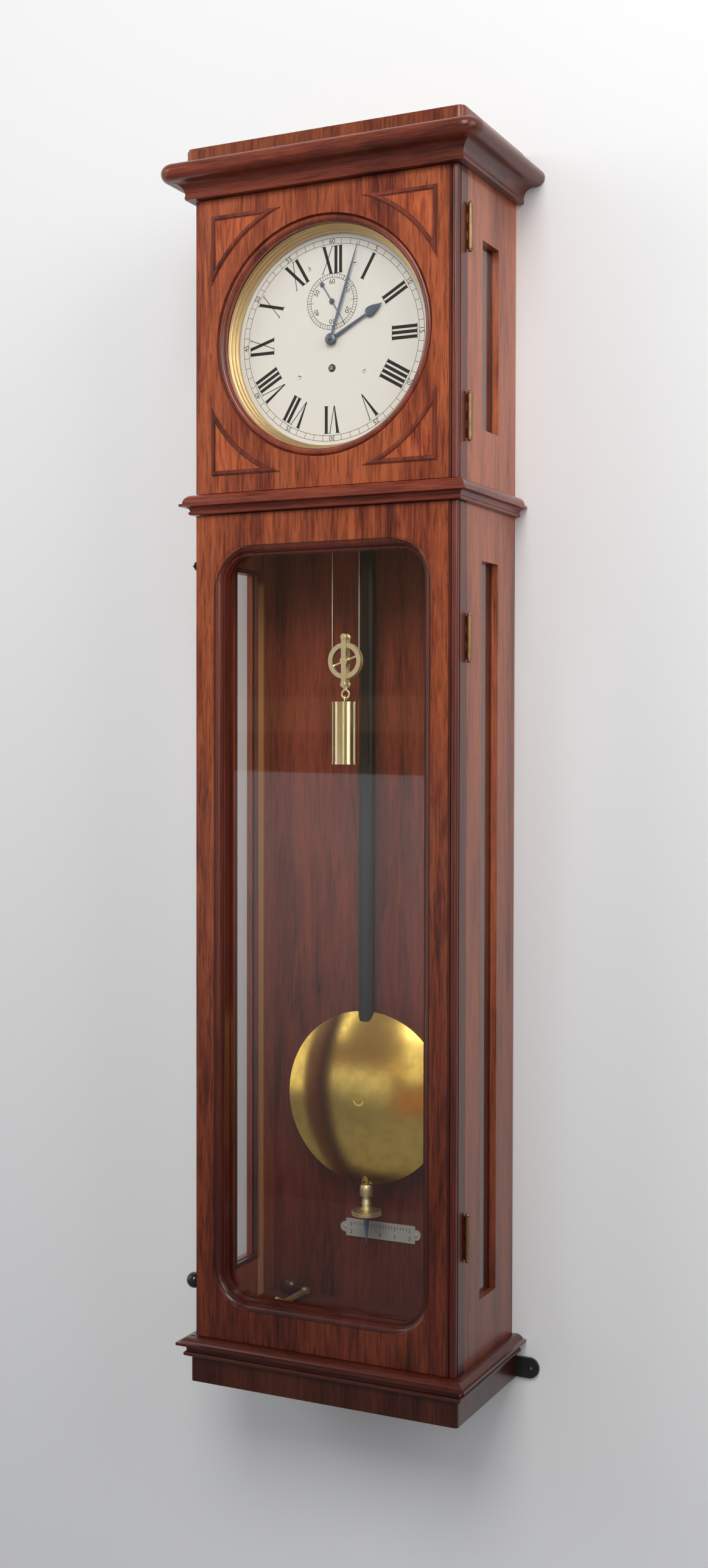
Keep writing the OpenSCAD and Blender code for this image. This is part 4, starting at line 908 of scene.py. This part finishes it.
class REG_OT_rings(bpy.types.Operator):
    """Turn the hood door's rings and the small fittings of the dial, the barrel and the bob"""
    bl_idname = "reg.rings"
    bl_label = "Rings"

    def execute(self, context):
        self.sight_ring()
        self.door_ring()
        self.screw_slots()
        self.bob_sleeve()
        self.winding_hole()
        return {"FINISHED"}

    def turn(self, name, profile, soft, finish, slot_name):
        """A ring of the hood door, turned about the dial's axis."""
        ring = revolved(rounded(profile, soft, 3), DIAL, 240)
        return new_piece(name, "hood_door", finish, slot_name, *ring)

    def sight_ring(self):
        """Four brass steps that widen towards the front."""
        low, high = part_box("sight_ring")
        back, front, outer = high.y, low.y, (high.x - low.x) / 2
        step = 0.0024
        first, second, third, fourth = (0.1273 + k * step for k in range(4))
        profile = [(outer, back), (first, back), (first, back - 0.0034), (first + 0.0006, back - 0.0042),
                   (second, back - 0.0044), (second, back - 0.0082), (second + 0.0006, back - 0.0088),
                   (third, back - 0.0090), (third, back - 0.0124), (third + 0.0008, back - 0.0132),
                   (fourth, back - 0.0134), (fourth, front), (outer, front)]
        piece = self.turn("sight_ring_turned", profile, 0.0003, "satin", "brass")
        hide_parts("sight_ring")

    def door_ring(self):
        """A wooden ring whose bead is the arc (m - q cos v, front + q - q sin v)."""
        low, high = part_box("door_ring")
        back, front, outer = high.y, low.y, (high.x - low.x) / 2
        inner, bead, fillet, ledge = outer - 0.010, 0.0036, front + 0.0040, outer - 0.0012
        arc = np.linspace(math.radians(200), math.radians(-20), 15)
        profile = [(outer, back), (inner, back), (inner, fillet), (inner + 0.0014, fillet)]
        profile += [(outer - 0.0050 - bead * math.cos(v), front + bead - bead * math.sin(v)) for v in arc]
        profile += [(ledge, front + 0.0046), (ledge, front + 0.0026), (outer, front + 0.0026)]
        piece = self.turn("door_ring_turned", profile, 0.0002, "ring", "moulding_wood")
        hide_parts("door_ring")

    def screw_slots(self):
        """Painted shade: dark wax slabs for the slots of the dial's four screws, each at its own angle.
        """
        low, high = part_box("dial_screws")
        radius, aside = 0.003, 0.0305
        places = [(low.x + radius, low.z + radius, 0.4), (high.x - radius, low.z + radius, -0.7),
                  (DIAL.x - aside, high.z - radius, 1.1), (DIAL.x + aside, high.z - radius, 0.1)]
        slot, cuts = oblong(0.0022, 0.00045), []
        for x, z, turn in places:
            spin = np.array([[math.cos(turn), -math.sin(turn)], [math.sin(turn), math.cos(turn)]])
            cuts.append(slot @ spin + np.array([x, z]))
        engraved("dial_screw_slot_shade", cuts, (0.0, low.y, 0.0), props()[0].proud)

    def bob_sleeve(self):
        """The brass sleeve round the bob's stem, over the rating nut."""
        foot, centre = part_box("rating_nut")[1].z + 0.0003, middle("rating_nut")
        sleeve = [(0.0066, 0.0), (0.0079, 0.0), (0.0087, 0.0010), (0.0087, 0.0096), (0.0080, 0.0128),
                  (0.0068, 0.0146), (0.0066, 0.0146)]
        sleeve = rounded([(r, z + foot) for r, z in sleeve], 0.0006)
        shape = stood_up(revolved(sleeve, (centre.x, 0.0, centre.y), 60))
        new_piece("bob_sleeve", "bob", "key_brass", "pale_brass", *shape)

    def winding_hole(self):
        """The collar of the winding hole, whose dark brass also paints the shade in the hole, and the end
        of the barrel's square in it.
        """
        hole = (DIAL.x, 0.0, middle("barrel").z)
        collar = washer(0.0036, 0.0048, DIAL.y, DIAL.y - 0.0005, 0.0002)
        new_piece("winding_collar_hole_shade", "case", "dark_brass", "aged_brass", *revolved(collar, hole, 60))
        end, half, thick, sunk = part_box("barrel")[0].y, 0.00252, 0.0012, 0.0009
        square = slabs([oblong(half, half)], thick, (hole[0], end + sunk, hole[2]))
        new_piece("winding_square_end", "barrel", "steel", "steel", *square, smooth=False)


class REG_OT_beat_marks(bpy.types.Operator):
    """Cut the degrees into the beat scale"""
    bl_idname = "reg.beat_marks"
    bl_label = "Beat scale"

    def execute(self, context):
        d = props()[0]
        low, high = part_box("beat_scale")
        pivot = middle("suspension_spring")
        face = low.y + 0.001
        degree = math.tan(math.radians(1.0)) * (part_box("suspension_spring")[1].z - (low.z + high.z) / 2)
        top, half, long_mark, short_mark = high.z - 0.0035, 0.00036, 0.0062, 0.0038
        outlines = []
        for i in range(-20, 21, 2):
            x, foot = degree * i / 10, top - (short_mark if i % 10 else long_mark)
            outlines.append(np.array([[(x - half, foot), (x - half, top), (x + half, top),
                                       (x + half, foot)]]))
        engraved("beat_marks", outlines, (pivot.x, face, 0.0), d.proud)
        flats, height, lift = [], 0.0052, 0.0058
        for n in (-2, -1, 0, 1, 2):
            co, polygons = figure_mesh(str(abs(n)), height)
            flats.append((np.stack([co[:, 0] + pivot.x + degree * n, np.full(len(co), face - d.proud),
                                    co[:, 1] + low.z + lift], 1), polygons))
        lettered("beat_figures", flats)
        return {"FINISHED"}


class REG_OT_line(bpy.types.Operator):
    """Lay the line from the barrel, round the pulley and up to its anchor"""
    bl_idname = "reg.line"
    bl_label = "Line"

    def execute(self, context):
        g, c = props()[3], props()[1]
        low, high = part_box("line")
        centre = middle("line")
        run = (high.x - low.x) / 2 - LINE_RADIUS
        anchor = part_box("line_anchor")[0].z
        wheel = middle("pulley_wheel").z
        down = np.linspace(high.z, wheel, 420)
        up = np.linspace(wheel, anchor, 380)
        bend = np.linspace(0, math.pi, 60)[1:-1]
        x = np.concatenate([np.full(len(down), run), run * np.cos(bend), np.full(len(up), -run)])
        z = np.concatenate([down, wheel - run * np.sin(bend), up])
        path = np.stack([x + centre.x, np.full(len(x), centre.y), z], 1)
        points, faces = twisted_cord(path, g.radius, g.strands, g.lay)
        finish = gut_finish("waxed_gut", tuple(c.gut))
        piece = linked("gut_line", bpy.data.meshes.new("gut_line"))
        piece.data.materials.append(finish)
        fill_mesh(piece.data, points, faces)
        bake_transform(piece)
        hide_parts("line")
        return {"FINISHED"}


# Stage

def lamp(name, place, target, size, watts, tint):
    """A rectangular lamp that points at a target."""
    data = bpy.data.lights.new(name, "AREA")
    data.shape = "RECTANGLE"
    data.size, data.size_y = size
    data.energy = watts
    data.color = tint
    holder = linked(name, data)
    holder.location = place
    holder.rotation_euler = (Vector(target) - Vector(place)).to_track_quat("-Z", "Y").to_euler()


def flat_piece(name, corners, finish):
    """A four-cornered piece of the stage."""
    piece = linked(name, bpy.data.meshes.new(name))
    piece.data.from_pydata(corners, [], [(0, 1, 2, 3)])
    piece.data.materials.append(finish)


def backdrop(name, corners, tint, seen_through=False):
    """A flat four-cornered backdrop. Where it is seen through, only the camera's and mirrored rays
    that meet its front stop at it."""
    f = Finish(name + "_paint")
    soft = f.noise(f.stretch(1.1, 1.1, 1.3), detail=3.0)
    base = f.mix(soft * 0.10, tint, scaled(tint, 0.95))
    # Painted shade: the paint darkens towards the floor, for light that falls off down the wall.
    low = 1.0 - f.axes()[2].over(-2.0, 0.1)
    base = f.mix(low, base, (0.83, 0.835, 0.85), "MULTIPLY")
    shader = f.add("ShaderNodeBsdfDiffuse", {}, {"Color": base}).outputs[0]
    if seen_through:
        path = f.add("ShaderNodeLightPath", {}, {}).outputs
        facing = f.add("ShaderNodeNewGeometry", {}, {}).outputs["Backfacing"]
        rays = (Signal(f, path["Is Camera Ray"]) + Signal(f, path["Is Glossy Ray"])
                + Signal(f, path["Is Transmission Ray"])).clip()
        shader = f.blend(rays * (1.0 - Signal(f, facing)), f.clear(), shader)
    flat_piece(name, corners, f.show(shader))


def card(name, left, right, low, high, tint, fade=None, slant=0.0):
    """An upright lit card between two (x, y) ends that only mirrored rays meet, darker towards the
    first of two fade heights. slant lifts its left upper corner."""
    f = Finish(name + "_glow")
    if fade:
        tint = f.mix(f.axes()[2].over(*fade), scaled(tint, 0.16), tint)
    glow = f.add("ShaderNodeEmission", {}, {"Color": tint, "Strength": 1.0}).outputs[0]
    mirrored = f.add("ShaderNodeLightPath", {}, {}).outputs["Is Glossy Ray"]
    corners = [(*left, low), (*right, low), (*right, high), (*left, high + slant)]
    flat_piece(name, corners, f.show(f.blend(mirrored, f.clear(), glow)))


CARDS = [
    ("low_card", (-4.2, -3.6), (-0.35, -3.6), -2.19, -0.76, (0.80, 0.79, 0.80), (-2.15, -0.95), 0.06),
    ("far_card", (-4.2, -3.62), (0.5, -3.62), -0.60, -0.48, (0.42, 0.27, 0.16)),
    ("left_card", (-2.9, -0.5), (-2.9, -2.6), -1.6, 1.2, (1.15, 1.08, 0.95)),
    ("mid_card", (0.10, -3.7), (0.95, -3.7), -1.0, 0.5, (1.10, 1.03, 0.90)),
    ("brown_card", (-0.25, -3.68), (1.7, -3.68), -2.19, -1.35, (0.34, 0.15, 0.06)),
    ("right_card", (2.3, -3.0), (3.6, -2.1), -1.6, 1.0, (1.7, 1.65, 1.5)),
]


class REG_OT_stage(bpy.types.Operator):
    """Set up the wall, floor, lamps and camera"""
    bl_idname = "reg.stage"
    bl_label = "Stage"

    def execute(self, context):
        c, s = props()[1], props()[2]
        scene = context.scene
        scene.view_settings.view_transform = "Standard"
        data = bpy.data.cameras.new("camera")
        data.lens, data.sensor_width = s.lens, 36.0
        eye = linked("camera", data)
        eye.location = s.camera
        eye.rotation_euler = Euler((math.pi / 2 + s.pitch, 0.0, s.yaw), "XYZ")
        eye.matrix_basis = eye.matrix_basis @ Matrix.Rotation(s.roll, 4, "Z")
        scene.camera = eye
        w, top, behind, low = 6.0, 3.2, 0.0012, s.floor
        backdrop("wall", [(-w, behind, low), (w, behind, low), (w, behind, top), (-w, behind, top)],
                 tuple(c.wall), seen_through=True)
        backdrop("floor", [(-w, -w, low), (w, -w, low), (w, w, low), (-w, w, low)], (0.30, 0.28, 0.27))
        for values in CARDS:
            card(*values)
        world = bpy.data.worlds.new("studio")
        world.use_nodes = True
        sky = world.node_tree.nodes["Background"]
        sky.inputs[1].default_value = s.sky
        path = world.node_tree.nodes.new("ShaderNodeLightPath")
        tint = world.node_tree.nodes.new("ShaderNodeMix")
        tint.data_type = "RGBA"
        tint.inputs[6].default_value = (0.94, 0.97, 1.0, 1.0)
        tint.inputs[7].default_value = (0.42, 0.30, 0.20, 1.0)
        world.node_tree.links.new(path.outputs["Is Glossy Ray"], tint.inputs[0])
        world.node_tree.links.new(tint.outputs[2], sky.inputs[0])
        scene.world = world
        aim = (0.0, -0.09, -0.4)
        lamp("front_lamp", (0.75, -3.0, 1.5), aim, (1.5, 1.9), s.key, (1.0, 0.985, 0.96))
        lamp("side_lamp", (2.9, -1.5, 0.8), aim, (1.5, 2.0), s.side, (0.96, 0.98, 1.0))
        lamp("left_lamp", (-2.6, -2.2, 1.0), aim, (1.4, 1.8), s.fill, (0.98, 0.99, 1.0))
        lamp("back_lamp", (-1.2, 2.4, 0.9), aim, (1.6, 1.6), s.side, (1.0, 1.0, 1.0))
        return {"FINISHED"}


class REG_PT_panel(bpy.types.Panel):
    """Lists the clock's parts in the sidebar"""
    bl_idname = "REG_PT_panel"
    bl_label = "Regulator"
    bl_space_type = "VIEW_3D"
    bl_region_type = "UI"
    bl_category = "Regulator"

    def draw(self, context):
        column = self.layout.column()
        for step in STEPS:
            column.operator(step.bl_idname)


GROUPS = {"reg_dial": REG_PG_dial, "reg_colours": REG_PG_colours, "reg_stage": REG_PG_stage,
          "reg_line": REG_PG_line}
STEPS = [REG_OT_stage, REG_OT_line, REG_OT_woods, REG_OT_metals, REG_OT_glass, REG_OT_numerals,
         REG_OT_tracks, REG_OT_figures, REG_OT_hands, REG_OT_rings, REG_OT_beat_marks]


def register():
    for cls in [*GROUPS.values(), *STEPS, REG_PT_panel]:
        bpy.utils.register_class(cls)
    for name, group in GROUPS.items():
        setattr(bpy.types.Scene, name, PointerProperty(type=group))


def unregister():
    for name in GROUPS:
        delattr(bpy.types.Scene, name)
    for cls in reversed([*GROUPS.values(), *STEPS, REG_PT_panel]):
        bpy.utils.unregister_class(cls)


def main():
    """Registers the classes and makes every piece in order."""
    register()
    for step in STEPS:
        group, call = step.bl_idname.split(".")
        getattr(getattr(bpy.ops, group), call)()


if __name__ == "__main__":
    main()
